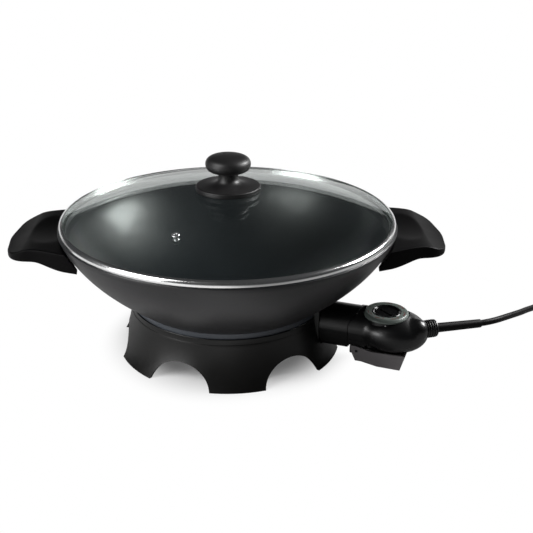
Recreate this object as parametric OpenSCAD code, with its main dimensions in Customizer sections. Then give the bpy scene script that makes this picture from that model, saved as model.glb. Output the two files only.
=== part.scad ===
// Electric wok with a lift-off glass lid and a plug-in temperature control.
// Millimetres. The origin is on the table below the bowl's axis: +X points to the
// right-hand handle, -Y to the cook and +Z up.

/* [Bowl] */
// Outer radius of the bowl at its rim
rim_r = 181; // [170:1:195]
// Height of the rim's flat top above the table
rim_z = 143; // [138:1:152]
// Width of the flat land on top of the rim
rim_w = 5.5; // [4.5:0.5:7]
// Depth of the rim's outer lip
rim_lip = 2.5; // [1.5:0.5:4]
// Width of the sloping ledge inside the rim
ledge_w = 6; // [5:0.5:8]
// Drop from the rim's top to the foot of the ledge
ledge_h = 10; // [9:0.5:12]
// Outer radius of the bowl's foot
foot_r = 106.5; // [103:0.5:110]
// Height of the foot's bottom face above the table
foot_z = 48; // [46:0.5:50]
// Height of the foot's upright edge
foot_h = 11.5; // [10:0.5:14]
// Width of the foot's seating ring
foot_w = 12.5; // [11:0.5:15]
// Radius of the flat cooking floor
floor_r = 62; // [50:1:75]
// Height of the cooking floor above the table
floor_z = 49; // [48:0.5:52]
// Thickness of the bottom plate below the cooking floor
plate_t = 7; // [6:0.5:8]

/* [Heating element] */
// Radius of the element's ring
heat_r = 66; // [60:1:68]
// Radius of the element's tube
heat_tube_r = 4; // [3.5:0.1:4.5]
// Depth of the ridge that holds the element
heat_ridge = 6; // [5:0.5:7]
// Distance between the two terminals
pin_gap = 22; // [20:0.5:24]
// Radius of a terminal pin
pin_r = 2.4; // [2:0.1:2.6]
// How far the terminal pins reach into the control
pin_reach = 17; // [12:1:20]

/* [Base] */
// Outer radius of the legs at the table
leg_r = 124; // [120:0.5:135]
// Direction of the first leg, from the front towards the right
leg_turn = 3.6; // [0:0.1:6]
// Number of legs
legs = 6; // [6:1:6]
// Radius of the arch between two legs
arch_r = 37; // [33:0.5:40]
// How far the centre of an arch lies below the table
arch_drop = 12; // [9:0.5:15]
// How far the collar stands out from the bowl's foot
collar_t = 1.5; // [1:0.1:2.5]
// How far the collar climbs up the bowl's foot
collar_h = 5.3; // [4:0.1:7]
// Wall of the skirt
skirt_t = 3; // [2.5:0.1:3.5]
// Thickness of the deck that carries the bowl
deck_t = 3.2; // [2.5:0.1:4]
// Radius of a base screw
base_screw_r = 2; // [1.5:0.1:2.5]

/* [Handles] */
// How far a handle reaches out past the rim
handle_reach = 53; // [45:1:60]
// How far past the rim the sides of a handle turn in
handle_shoulder = 27; // [22:1:32]
// Width of a handle at its shoulder
handle_w = 118; // [105:1:130]
// Width of a handle where it meets the bowl
handle_root_w = 148; // [140:1:156]
// Height of a handle's top face below the rim
handle_drop = 9.5; // [8:0.5:12]
// Thickness of a handle at its tip
handle_tip_t = 5.5; // [5:0.5:7]
// Depth of a handle where it meets the bowl
handle_root_t = 21; // [18:0.5:24]
// Skin over the hollow below a handle
handle_skin = 5; // [4:0.5:6]
// Distance between the two screws of a handle
handle_screw_gap = 76; // [60:1:90]
// Radius of a handle screw
handle_screw_r = 2.5; // [2:0.1:3]
// Wall round the hollow below a handle
handle_wall = 4; // [3:0.5:5]
// Gap between a handle and the bowl
handle_gap = 1.5; // [1:0.1:2.5]

/* [Lid] */
// How far the lid's steel band stays inside the rim
band_inset = 1; // [0.5:0.1:2]
// Height of the steel band
band_h = 6; // [5.5:0.1:7]
// Sheet thickness of the steel band
band_t = 0.6; // [0.5:0.1:0.8]
// How far the band's skirt hangs down into the bowl
band_skirt = 5.5; // [4:0.1:5.5]
// Thickness of the glass
glass_t = 4; // [3.5:0.1:4.4]
// Rise of the glass dome from its edge to its middle
dome_h = 30; // [25:1:36]
// Radius of the steam vent's hole
vent_r = 1.6; // [1.2:0.1:2]
// Distance of the steam vent from the lid's axis
vent_dist = 116; // [100:0.5:135]
// Direction of the steam vent, from the front towards the right
vent_turn = -26; // [-60:1:-10]

/* [Knob] */
// Radius of the knob's flange
flange_r = 34.6; // [30:0.1:40]
// Thickness of the flange at its edge
flange_t = 5.3; // [4:0.1:7]
// Radius of the knob's neck
neck_r = 10.6; // [9:0.1:12]
// Height of the neck between flange and head
neck_h = 12; // [10:0.5:16]
// Radius of the knob's head
head_r = 24.1; // [20:0.1:28]
// Height of the knob's head
head_h = 18; // [15:0.5:22]
// Radius of the knob's screw
knob_screw_r = 2.4; // [2:0.1:3]

/* [Control] */
// Direction of the control, from the front towards the right
ctl_turn = 68; // [60:1:75]
// Distance from the bowl's axis to the front face of the nose
nose_in = 111; // [111:0.5:113]
// Width of the nose at its shoulder
nose_w = 40.6; // [39:0.2:42]
// Width of the nose at its underside
nose_low_w = 33; // [31:0.5:35]
// Height of the nose's underside above the table
nose_z = 21.5; // [21:0.5:23]
// Height of the nose's shoulder above the table
shoulder_z = 43.5; // [42:0.5:45]
// Length of the nose along its underside
nose_l = 31.5; // [31:0.5:33]
// Height of the point from which the seam between nose and body leans out
seam_bend = 48; // [46:0.5:52]
// How far the seam leans out at the top of the arch
seam_lean = 9.5; // [8:0.5:12]
// Wall of the control's shells
shell_t = 2.2; // [2:0.1:2.5]
// Distance from the bowl's axis to the middle of the control's body
body_at = 187; // [186:0.5:189]
// Length of the control's rounded body
body_l = 74; // [72:1:78]
// Width of the control's rounded body
body_w = 58; // [56:1:62]
// Height of the control's rounded body
body_h = 45; // [44:0.5:46]
// Height of the middle of the rounded body above the table
body_z = 42.5; // [42:0.5:43.5]
// Height of the terminals and the probe above the table
pin_z = 38; // [37.5:0.1:38.5]
// Radius of the temperature probe
probe_r = 3; // [2.5:0.1:3.2]
// Outer radius of a contact sleeve
contact_r = 3.6; // [3.4:0.1:4]

/* [Dial] */
// Distance from the bowl's axis to the dial's axis
dial_at = 178.6; // [177:0.2:180]
// Outer radius of the dial's ring
dial_r = 24; // [22:0.2:25]
// Radius of the dark cap inside the ring
cap_r = 15.3; // [13:0.1:17]
// Height of the dial's ring
dial_h = 5; // [4:0.1:7]
// Height of the dial's underside above the table
dial_z = 59; // [58.5:0.1:60]
// Radius of the dial's spindle
spindle_r = 3; // [2.5:0.1:3.5]

/* [Release lever] */
// Distance from the bowl's axis to the lever's pivot
lever_at = 152.5; // [152:0.5:154]
// Height of the lever's pivot above the table
lever_z = 20; // [19.5:0.5:20.5]
// Reach of the lever from its pivot to its tip
lever_l = 52; // [48:0.5:53]
// Outer width of the lever
lever_w = 37; // [36:0.5:37.5]
// Thickness of the lever's walls
lever_t = 2.4; // [2:0.1:2.8]
// Height of the lever's underside above the table
lever_low = 5.5; // [4:0.5:7]
// Radius of the lever's pin
lever_pin_r = 1.6; // [1.4:0.1:2]

/* [Cord] */
// Radius of the cord
cord_r = 3.4; // [3.2:0.1:3.5]
// Radius of the ribbed gland
gland_r = 9.6; // [9:0.1:10]
// Length of the ribbed gland
gland_l = 12; // [10:0.5:14]
// Height of the gland's axis above the table
gland_z = 49.5; // [49:0.1:50]
// Turn of the gland towards the back
gland_turn = 36; // [32:1:40]
// Radius of the coil's outermost turn
coil_r = 43; // [42:0.5:46]
// Distance between two turns that lie side by side
coil_pitch = 7.4; // [7.4:0.1:8]
// Distance between the two layers of the coil
coil_layer = 7.4; // [7.4:0.1:8]
// Radius of the plug's face
plug_r = 18.5; // [17:0.5:19]
// Length of the plug's pins
plug_pin_l = 19; // [17:0.5:19]

/* [Hidden] */
$fn = 64;

// Clearances
fit = 0.05;      // running fit of a shaft in its hole, and of a screw in its thread
slip = 0.3;      // between pieces that only lie beside each other
play = 0.6;      // round a piece that passes through a notch
eps = 0.5;       // overrun of a cut past the face that it leaves
curve_n = 12;    // steps of a curve in an outline
far = 400;       // longer than any cut needs

// Bowl
flank_z = foot_z + foot_h;
flank_r = foot_r + 1.5;
ledge_r = rim_r - rim_w - ledge_w;
ledge_z = rim_z - ledge_h;
plate_z = floor_z - plate_t;
ridge_z = plate_z - heat_ridge;
ridge_w = 2 * heat_tube_r + 4;
heat_z = pin_z;

// Heating element and its inlet
leg_end = 84;                     // distance from the axis to the end of the element's legs
shroud_in = 92;                   // distance from the axis to the shroud's back wall
shroud_out = nose_in - 0.5;
shroud_t = 2.5;
shroud_w = nose_w;
shroud_low = nose_z + 1.5;
shroud_top = flank_z + 0.5;
bead_r = 4.6;
bead_l = 12;
tab_w = 6.5;
tab_t = 2.5;
tab_in = heat_r + ridge_w / 2 + 1.5;
tab_y = shroud_w / 2 - 0.5;
probe_hole_r = probe_r + 0.35;
probe_tip = heat_r + ridge_w / 2 + 2;

// Base
collar_r = foot_r + collar_t;
collar_z = foot_z + collar_h;
deck_in = foot_r - foot_w + 3.5;
notch_z = nose_z - 1;
notch_w = nose_w + 2.4;
arch_in = deck_in - 27.5;         // distance from the axis at which an arch starts
arch_over = 20;                   // how far an arch's cut runs past the legs
skirt_slope = [-84, -56];         // slope of the skirt's line below the collar and at the table
skirt_hold = [16, 13];            // how far the line keeps those slopes
base_boss_h = 6;                  // depth of a screw boss below the deck
screw_ring = (deck_in + foot_r) / 2;
screw_turns = [ctl_turn - 60, ctl_turn + 60, ctl_turn + 180];

// Handles
handle_top = rim_z - handle_drop;
handle_screw_z = handle_top - 10.5;
lug_r = 6.5;
lug_end = rim_r - 10;
head_seat = rim_r + 2;

// Lid
band_r = rim_r - band_inset;
skirt_r = rim_r - rim_w - 3;
glass_r = band_r - band_t - 0.2;
glass_z = rim_z + band_t + 0.3 + glass_t / 2;
dome_r = (pow(glass_r, 2) + pow(dome_h, 2)) / (2 * dome_h);
dome_c = glass_z + dome_h - dome_r;
dome_top = dome_c + dome_r + glass_t / 2;
dome_under = dome_top - glass_t;
vent_lean = asin(vent_dist / (dome_r + glass_t / 2));
gasket_t = 1.6;
gasket_r = 11;
hole_r = knob_screw_r + 1.4;
washer_t = 1.2;
flange_z = dome_top + flange_t - 0.8;
head_z = flange_z + 3.3 + neck_h;
knob_top = head_z + head_h;

// Control, in its own frame: x runs out from the bowl's axis, y towards the back
ctl_angle = ctl_turn - 90;
seam_low = nose_in + nose_l;
seam_gap = 0.8;
split_z = 33;
pocket_w = lever_w + 1.6;
pocket_in = seam_low + 0.9;
pocket_out = 210;
pocket_low = 27;
pocket_high = 32.5;
keel_w = lever_w - 2 * lever_t - 1.2;
keel_out = lever_at + 8;
post_at = [[166, 15, split_z - 5], [166, -15, split_z - 5], [205, 0, split_z - 2]];
post_r = 3.8;
cover_screw_r = 1.25;
block_in = 125;
block_out = 140;
sleeve_in = nose_in + 3;
sleeve_out = 144;
unit_in = 150;
unit_w = 20;
unit_top = 46;
gland_at = 220;
gland_stem = 6.4;
sleeve_r = 5.1;
sleeve_end_r = 4.5;
sleeve_seat = 4;

// Lever
pin_l = lever_w - 0.6;

// Cord route, as the cord falls to the table and runs to its coil
gland_way = [cos(ctl_angle + gland_turn), sin(ctl_angle + gland_turn), 0];
gland_base = [gland_at * cos(ctl_angle), gland_at * sin(ctl_angle), gland_z];
sleeve_from = gland_base + (gland_l - sleeve_seat) * gland_way;
sleeve_to = [267.6, -65.5, 47];
route = [[267.7, -65.5, 47], [276, -63.2, 47.2], [287, -58, 46.8], [300, -48, 45], [313, -36, 42],
         [326, -23, 38.5], [338, -9, 34.5], [350, 5, 30], [361, 19, 25.5], [372, 33, 20.5],
         [382, 47, 15.5], [391, 60, 11.2], [399, 73, 7.6], [405, 84, 5.4], [409, 94, 4.5],
         [410, 101, 4.3]];
coil_at = [453, 108];
coil_z = 4.3;
coil_turns = 3.5;
coil_rings = 24;
tail = 2 * cord_r;
plug_lean = 9.5;

// ---------------------------------------------------------------- helpers

// Points of a cubic curve from p to q that leaves p at angle a and reaches q at angle b
function curve(p, a, la, q, b, lb, n = curve_n) =
    let (p1 = p + la * [cos(a), sin(a)], q1 = q - lb * [cos(b), sin(b)])
    [for (i = [0:n]) let (t = i / n, s = 1 - t)
        s * s * s * p + 3 * s * s * t * p1 + 3 * s * t * t * q1 + t * t * t * q];

function unit(v) = v / norm(v);
function tangent(p, i) =
    unit(p[min(i + 1, len(p) - 1)] - p[max(i - 1, 0)]);

// A tube of radius r and n sides swept along the points p
module tube(p, r, n) {
    last = len(p) - 1;
    rings = [for (i = [0:last], j = [0:n - 1])
        let (t = tangent(p, i), s = unit(cross(t, [0, 0, 1])), u = cross(s, t),
             a = 360 * (j + 0.5) / n)
        p[i] + r * (cos(a) * s + sin(a) * u)];
    sides = [for (i = [0:last - 1], j = [0:n - 1], k = [0, 1])
        let (a = i * n + j, b = i * n + (j + 1) % n)
        k == 0 ? [a, b, b + n] : [a, b + n, a + n]];
    ends = [[for (j = [0:n - 1]) n - 1 - j], [for (j = [0:n - 1]) last * n + j]];
    polyhedron(points = rings, faces = concat(sides, ends), convexity = 10);
}

// Turns a child that points along +X towards an azimuth from the front
module towards(turn) {
    rotate([0, 0, turn - 90]) children();
}

module control_frame() {
    towards(ctl_turn) children();
}

// A cylinder along x, from x = a to x = b
module rod(r, a, b) {
    translate([a, 0, 0]) rotate([0, 90, 0]) cylinder(r = r, h = b - a);
}

// Extrudes an outline drawn in y and z along x, from x = a to x = b
module along_x(a, b) {
    translate([a, 0, 0]) rotate([90, 0, 90]) linear_extrude(height = b - a) children();
}

// Extrudes an outline drawn in x and z across y, to both sides
module across_y(w) {
    rotate([90, 0, 0]) linear_extrude(height = w, center = true) children();
}

// A box from its low corner to its high corner
module block(low, high) {
    translate(low) cube(high - low);
}

// ---------------------------------------------------------------- bowl

function flank(out) =
    [for (p = curve([flank_r, flank_z], 38, 26, [rim_r, rim_z - rim_lip], 68, 42)) p + [out, 0]];

module bowl_outside(out = 0) {
    rotate_extrude($fn = 160)
        polygon(concat([[0, plate_z], [80, plate_z], [foot_r - foot_w, foot_z], [foot_r + out, foot_z]],
                       [[foot_r + out, flank_z]], flank(out), [[rim_r + out, rim_z], [0, rim_z]]));
}

module bowl_inside() {
    rotate_extrude($fn = 160)
        polygon(concat([[0, floor_z]],
                       curve([floor_r, floor_z], 12, 61, [ledge_r, ledge_z], 72, 24, 18),
                       [[rim_r - rim_w - 1, rim_z - 4.5], [rim_r - rim_w, rim_z + eps],
                        [0, rim_z + eps]]));
}

module handle_screw_places() {
    for (side = [1, -1])
        translate([0, side * handle_screw_gap / 2, handle_screw_z]) children();
}

module wok_pan() {
    color("#34363b")
    difference() {
        union() {
            bowl_outside();
            for (turn = [0, 180])
                rotate([0, 0, turn]) handle_screw_places() rod(lug_r, rim_r - 30, lug_end);
            rotate_extrude()
                translate([heat_r - ridge_w / 2, ridge_z]) square([ridge_w, heat_ridge + 1]);
            control_frame()
                block([heat_r, -probe_r - 2.6, pin_z - probe_r - 2.6],
                      [leg_end + 5, probe_r + 2.6, plate_z + 1]);
        }
        bowl_inside();
        for (turn = [0, 180])
            rotate([0, 0, turn]) handle_screw_places() rod(handle_screw_r + fit, lug_end - 5.5, rim_r);
        control_frame() {
            block([shroud_in - play, -shroud_w / 2 - play, 0],
                  [foot_r + 8, shroud_w / 2 + play, shroud_top + play]);
            translate([0, 0, pin_z]) rod(probe_hole_r, probe_tip, leg_end + 9);
            for (side = [1, -1])
                translate([tab_in + 4, side * tab_y, plate_z - eps]) cylinder(r = 1.5 + fit, h = 5.5);
            for (side = [1, -1])
                translate([0, side * pin_gap / 2, heat_z]) rod(heat_tube_r + slip, heat_r, leg_end + 4);
        }
        element_ring(heat_tube_r + slip);
        for (turn = screw_turns)
            towards(turn) translate([screw_ring, 0, foot_z - eps])
                cylinder(r = base_screw_r + fit, h = 8.5);
    }
}

// ---------------------------------------------------------------- heating element and inlet

module element_ring(r) {
    translate([0, 0, heat_z]) rotate_extrude() translate([heat_r, 0]) circle(r = r, $fn = 32);
}

module heating_element() {
    color("#8d8f92")
    control_frame() {
        difference() {
            rotate([0, 0, -ctl_angle]) element_ring(heat_tube_r);
            block([0, -pin_gap / 2, 0], [far, pin_gap / 2, far]);
        }
        for (side = [1, -1])
            translate([0, side * pin_gap / 2, heat_z]) rod(heat_tube_r, heat_r - 1.5, leg_end);
    }
}

module terminal_pins() {
    color("#c9cbce")
    control_frame()
        for (side = [1, -1])
            translate([0, side * pin_gap / 2, pin_z]) rod(pin_r, leg_end, nose_in + pin_reach);
}

module terminal_insulators() {
    color("#e6e3da")
    control_frame()
        for (side = [1, -1])
            translate([0, side * pin_gap / 2, pin_z])
                difference() {
                    rod(bead_r, leg_end + 0.2, leg_end + bead_l);
                    rod(pin_r + fit, leg_end, leg_end + bead_l + eps);
                }
}

module shroud_outline(t) {
    translate([-shroud_w / 2 + t, shroud_low + t])
        square([shroud_w - 2 * t, shroud_top - shroud_low - 2 * t]);
}

module inlet_shroud() {
    color("#5c6258")
    control_frame()
        difference() {
            union() {
                along_x(shroud_in, shroud_out) shroud_outline(0);
                for (side = [1, -1])
                    block([tab_in, side * tab_y - tab_w / 2, plate_z - tab_t],
                          [shroud_in + 1, side * tab_y + tab_w / 2, plate_z]);
            }
            along_x(shroud_in + shroud_t, shroud_out + eps) shroud_outline(shroud_t);
            for (side = [1, -1]) {
                translate([0, side * pin_gap / 2, pin_z])
                    rod(bead_r + fit, shroud_in - eps, shroud_in + 2 * shroud_t);
                translate([tab_in + 4, side * tab_y, 0]) cylinder(r = 1.5 + fit, h = far);
            }
            translate([0, 0, pin_z]) rod(probe_hole_r, shroud_in - eps, shroud_in + 2 * shroud_t);
        }
}

module shroud_screws() {
    color("#b4b6b8")
    control_frame()
        for (side = [1, -1])
            translate([tab_in + 4, side * tab_y, plate_z - tab_t]) {
                cylinder(r = 1.5, h = tab_t + 4);
                translate([0, 0, -2]) cylinder(r = 2.8, h = 2);
            }
}

// ---------------------------------------------------------------- base

function skirt_line(inset) =
    [for (p = curve([collar_r + 0.6, collar_z - 7], skirt_slope[0], skirt_hold[0],
                       [leg_r, 0], skirt_slope[1], skirt_hold[1])) p - [inset, 0]];

module base_skirt() {
    color("#26272a")
    difference() {
        union() {
            rotate_extrude($fn = 160) {
                polygon(concat([[foot_r + slip, collar_z], [collar_r, collar_z],
                                [collar_r, collar_z - 6.4]],
                               skirt_line(0),
                               [for (i = [0:curve_n]) skirt_line(skirt_t)[curve_n - i]],
                               [[deck_in, foot_z - deck_t], [deck_in, foot_z], [foot_r + slip, foot_z]]));
            }
            for (turn = screw_turns)
                towards(turn) translate([screw_ring, 0, foot_z - deck_t - base_boss_h])
                    cylinder(r = base_screw_r + 3, h = base_boss_h + 1);
        }
        for (i = [0:legs - 1])
            towards(leg_turn + 360 * (i + 0.5) / legs)
                translate([0, 0, -arch_drop]) rod(arch_r, arch_in, leg_r + arch_over);
        control_frame() block([arch_in, -notch_w / 2, notch_z], [leg_r + arch_over, notch_w / 2, far]);
        for (turn = screw_turns)
            towards(turn) translate([screw_ring, 0, 0]) cylinder(r = base_screw_r + 0.4, h = foot_z + eps);
    }
}

module base_screws() {
    color("#9a9ca0")
    for (turn = screw_turns)
        towards(turn) translate([screw_ring, 0, foot_z - deck_t - base_boss_h]) {
            cylinder(r = base_screw_r, h = deck_t + base_boss_h + 6);
            translate([0, 0, -2.4]) cylinder(r = 2 * base_screw_r, h = 2.4);
        }
}

// ---------------------------------------------------------------- handles

// Half of a handle's outline seen from above, from its root to its tip
function ear_side(d) =
    concat(curve([rim_r - 33, handle_root_w / 2 - d], -8, 27,
                 [rim_r + handle_shoulder, handle_w / 2 - d], -6, 18),
           curve([rim_r + handle_shoulder, handle_w / 2 - d], -8, 15,
                 [rim_r + handle_reach - 3 - d, handle_w / 4 - d], -84, 18),
           [[rim_r + handle_reach - d, 0]]);

module ear_plan(d = 0) {
    half = ear_side(d);
    n = len(half);
    polygon(concat(half, [for (i = [1:n - 1]) [half[n - 1 - i][0], -half[n - 1 - i][1]]]));
}

// Top line of a handle seen from the side, from its root to its tip, at z = top
function ear_top(top) =
    concat([[rim_r - 60, top - 2.5], [rim_r - 14, top - 1.5]],
           curve([rim_r + 1, top - 0.2], 4, 8, [rim_r + 27, top - 0.8], -12, 8, 6),
           curve([rim_r + 30, top - 1.6], -22, 8, [rim_r + handle_reach + 1, top - 8.5], -6, 8, 6));

// Outline of a handle seen from the side
module ear_profile() {
    polygon(concat(ear_top(handle_top),
                   [[rim_r + handle_reach + 1, handle_top - 8.5 - handle_tip_t],
                    [rim_r + 20, handle_top - 13.5]],
                   curve([rim_r + 19, handle_top - 13.5], 180, 8,
                         [rim_r - 12, handle_top - handle_root_t], 188, 14, 6),
                   [[rim_r - 60, handle_top - handle_root_t - 4]]));
}

// The finger hollow below a handle
module ear_hollow() {
    intersection() {
        linear_extrude(height = far) ear_plan(handle_wall);
        across_y(far) polygon(concat(ear_top(handle_top - handle_skin),
                                     [[rim_r + handle_reach + 1, 0], [rim_r - 60, 0]]));
        block([rim_r + 16, -far, 0], [far, far, far]);
    }
}

module handle() {
    difference() {
        intersection() {
            linear_extrude(height = far) ear_plan();
            across_y(far) ear_profile();
        }
        bowl_outside(handle_gap);
        translate([rim_r + 7, 0, handle_top + 297.6]) sphere(r = 300, $fn = 96);
        ear_hollow();
        handle_screw_places() {
            rod(lug_r + slip, rim_r - 40, lug_end + slip);
            rod(handle_screw_r + 0.4, rim_r - 20, head_seat + eps);
            rod(2 * handle_screw_r + 0.6, head_seat, rim_r + 18);
        }
    }
}

module handle_screws() {
    handle_screw_places() {
        rod(handle_screw_r, lug_end - 5, head_seat);
        rod(2 * handle_screw_r - 0.4, head_seat, head_seat + 3);
    }
}

module right_handle() {
    color("#242529") handle();
}

module left_handle() {
    color("#242529") mirror([1, 0, 0]) handle();
}

module right_handle_screws() {
    color("#a6a8ab") handle_screws();
}

module left_handle_screws() {
    color("#a6a8ab") mirror([1, 0, 0]) handle_screws();
}

// ---------------------------------------------------------------- lid

module at_vent() {
    towards(vent_turn) translate([0, 0, dome_c]) rotate([0, vent_lean, 0])
        translate([0, 0, dome_r + glass_t / 2]) children();
}

module lid_glass() {
    color("#cfdcd8", 0.4)
    difference() {
        rotate_extrude($fn = 160)
            intersection() {
                difference() {
                    translate([0, dome_c]) circle(r = dome_r + glass_t / 2, $fn = 360);
                    translate([0, dome_c]) circle(r = dome_r - glass_t / 2, $fn = 360);
                }
                translate([hole_r, 0]) square([glass_r - hole_r, far]);
            }
        at_vent() cylinder(r = vent_r + 1, h = 3 * glass_t, center = true);
    }
}

module lid_band() {
    color("#d9dadb")
    rotate_extrude($fn = 160)
        polygon([[skirt_r, rim_z - band_skirt], [skirt_r + band_t, rim_z - band_skirt],
                 [skirt_r + band_t, rim_z], [band_r, rim_z], [band_r, rim_z + band_h - 0.9],
                 [band_r - 0.9, rim_z + band_h], [band_r - 5.5, rim_z + band_h + 1.8],
                 [band_r - 5.5, rim_z + band_h + 1.8 - band_t],
                 [band_r - 0.9 - band_t / 2, rim_z + band_h - band_t],
                 [band_r - band_t, rim_z + band_h - 1.2], [band_r - band_t, rim_z + band_t],
                 [skirt_r, rim_z + band_t]]);
}

module vent_eyelet() {
    color("#dcdddd")
    at_vent()
        rotate_extrude()
            polygon([[vent_r, -glass_t - 1], [3.6, -glass_t - 1], [3.6, -glass_t - slip],
                     [vent_r + 1 - fit, -glass_t - slip], [vent_r + 1 - fit, slip], [4, slip],
                     [3.6, 1], [vent_r + 0.5, 1.1], [vent_r, 0.8]]);
}

module lid_knob() {
    color("#2a2a2d")
    difference() {
        rotate_extrude($fn = 96)
            polygon(concat([[0, dome_top - 2], [flange_r - 0.8, dome_top - 2],
                            [flange_r, dome_top - 1.2], [flange_r, flange_z - 0.6],
                            [flange_r - 0.6, flange_z]],
                           curve([neck_r + 4, flange_z + 3], 160, 2, [neck_r, head_z - neck_h + 5], 95, 3, 5),
                           curve([neck_r, head_z - 2.5], 85, 3, [head_r, head_z + 8], 88, 11, 10),
                           curve([head_r, head_z + 8], 92, 8, [0, knob_top], 180, 15, 10)));
        translate([0, 0, dome_c]) sphere(r = dome_r + glass_t / 2 + slip, $fn = 180);
        cylinder(r = gasket_r + slip, h = dome_top + gasket_t + slip);
        cylinder(r = knob_screw_r + fit, h = head_z + 4);
    }
}

module washer(r, hole, z, t) {
    translate([0, 0, z])
        difference() {
            cylinder(r = r, h = t);
            translate([0, 0, -eps]) cylinder(r = hole, h = t + 2 * eps);
        }
}

module knob_gasket() {
    color("#5a5d60") washer(gasket_r, knob_screw_r + 0.4, dome_top + 0.1, gasket_t);
}

module inner_gasket() {
    color("#5a5d60")
    washer(gasket_r + 2, knob_screw_r + 0.4, dome_under - 0.4 - gasket_t, gasket_t);
}

module inner_washer() {
    color("#d0d1d3")
    washer(gasket_r, knob_screw_r + 0.2, dome_under - 0.4 - gasket_t - washer_t, washer_t);
}

module knob_screw() {
    seat = dome_under - 0.4 - gasket_t - washer_t;
    color("#d0d1d3") {
        translate([0, 0, seat]) cylinder(r = knob_screw_r, h = head_z + 3 - seat);
        translate([0, 0, seat - 3]) cylinder(r = 2 * knob_screw_r, h = 3);
    }
}

// ---------------------------------------------------------------- control

// Outline of the nose, in y and z, grown outwards by g
module nose_outline(g) {
    translate([0, shoulder_z]) circle(r = nose_w / 2 + g, $fn = 64);
    polygon([[-nose_low_w / 2 - g, nose_z - g], [nose_low_w / 2 + g, nose_z - g],
             [nose_w / 2 + g, shoulder_z], [-nose_w / 2 - g, shoulder_z]]);
}

// The seam seen from the side: upright, then leaning out over the arch
function seam_line(shift) =
    let (top = shoulder_z + nose_w / 2 + 1)
    concat([[seam_low + shift, 0]],
           [for (i = [0:curve_n])
               let (k = i / curve_n)
               [seam_low + shift + seam_lean * pow(k, 1.5), seam_bend + k * (top - seam_bend)]]);

// The half of the control before (side = -1) or behind (side = 1) the seam
module seam_side(side) {
    line = seam_line(side * seam_gap / 2);
    end = line[len(line) - 1];
    edge = side > 0 ? far : 0;
    across_y(far) polygon(concat(line, [[end[0], far], [edge, far], [edge, 0]]));
}

module nose_housing() {
    color("#111113")
    difference() {
        control_frame()
            difference() {
                intersection() {
                    along_x(nose_in, body_at) nose_outline(0);
                    seam_side(-1);
                }
                along_x(nose_in - eps, body_at) nose_outline(-shell_t);
            }
        bowl_outside(1);
    }
}

module rounded_body(t) {
    translate([body_at, 0, body_z])
        scale([(body_l / 2 - t) / (body_h / 2 - t), (body_w / 2 - t) / (body_h / 2 - t), 1])
            sphere(r = body_h / 2 - t, $fn = 48);
}

module at_gland() {
    translate([gland_at, 0, gland_z]) rotate([0, 0, gland_turn]) children();
}

module body_outside() {
    intersection() {
        along_x(nose_in, body_at - 6) nose_outline(0.7);
        seam_side(1);
    }
    rounded_body(0);
    translate([dial_at, 0, body_z]) cylinder(r = dial_r - 2, h = dial_z - slip - body_z);
    at_gland() rod(gland_r + 0.6, -16, 0);
}

module body_hollow() {
    along_x(nose_in, body_at - 6) nose_outline(0.7 - shell_t);
    rounded_body(shell_t);
}

module body_housing() {
    color("#111113")
    control_frame()
        difference() {
            intersection() {
                body_outside();
                block([0, -far, split_z], [far, far, far]);
            }
            difference() {
                body_hollow();
                for (p = post_at)
                    translate([p[0], p[1], split_z + 2.5]) cylinder(r = post_r, h = 40);
                translate([dial_at, 0, dial_z - 8]) cylinder(r = spindle_r + 3, h = 20);
                translate([dial_at, 0, dial_z - slip - shell_t])
                    cylinder(r = dial_r + play + shell_t, h = 20);
                at_gland() rod(gland_r, -13, 0);
            }
            for (p = post_at)
                translate([p[0], p[1], 0]) cylinder(r = cover_screw_r + fit, h = split_z + 10);
            translate([dial_at, 0, 0]) cylinder(r = spindle_r + fit, h = far);
            translate([dial_at, 0, dial_z - slip]) cylinder(r = dial_r + play, h = far);
            at_gland() rod(gland_stem + 0.1, -20, eps);
            at_gland() rod(gland_r + slip, 0, gland_l);
        }
}

module pocket() {
    across_y(pocket_w) polygon([[nose_in, 0], [nose_in, pocket_low], [pocket_in, pocket_low],
                                [pocket_out, pocket_high], [pocket_out, 0]]);
}

module bottom_cover() {
    color("#161618")
    control_frame()
        difference() {
            union() {
                difference() {
                    intersection() {
                        body_outside();
                        block([0, -far, 0], [far, far, split_z]);
                    }
                    pocket();
                }
                intersection() {
                    body_hollow();
                    block([pocket_in + 4, -pocket_w / 2 + 0.6, split_z - 2],
                          [pocket_out, pocket_w / 2 - 0.6, split_z + 2]);
                }
                block([pocket_in + 1, -keel_w / 2, lever_z - 4.5], [keel_out, keel_w / 2, split_z]);
                for (p = post_at)
                    translate(p) cylinder(r = post_r, h = split_z + 1 - p[2]);
            }
            for (p = post_at)
                translate([p[0], p[1], 0]) cylinder(r = cover_screw_r + 0.3, h = far);
            translate([lever_at, 0, lever_z]) rotate([90, 0, 0])
                cylinder(r = lever_pin_r + fit, h = far, center = true);
            block([lever_at - 6, -6, 0], [lever_at + 5, 6, lever_z + 6]);
        }
}

module cover_screws() {
    color("#9a9ca0")
    control_frame()
        for (p = post_at)
            translate(p) {
                cylinder(r = cover_screw_r, h = split_z + 8 - p[2]);
                translate([0, 0, -1.8]) cylinder(r = 2.6, h = 1.8);
            }
}

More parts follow.
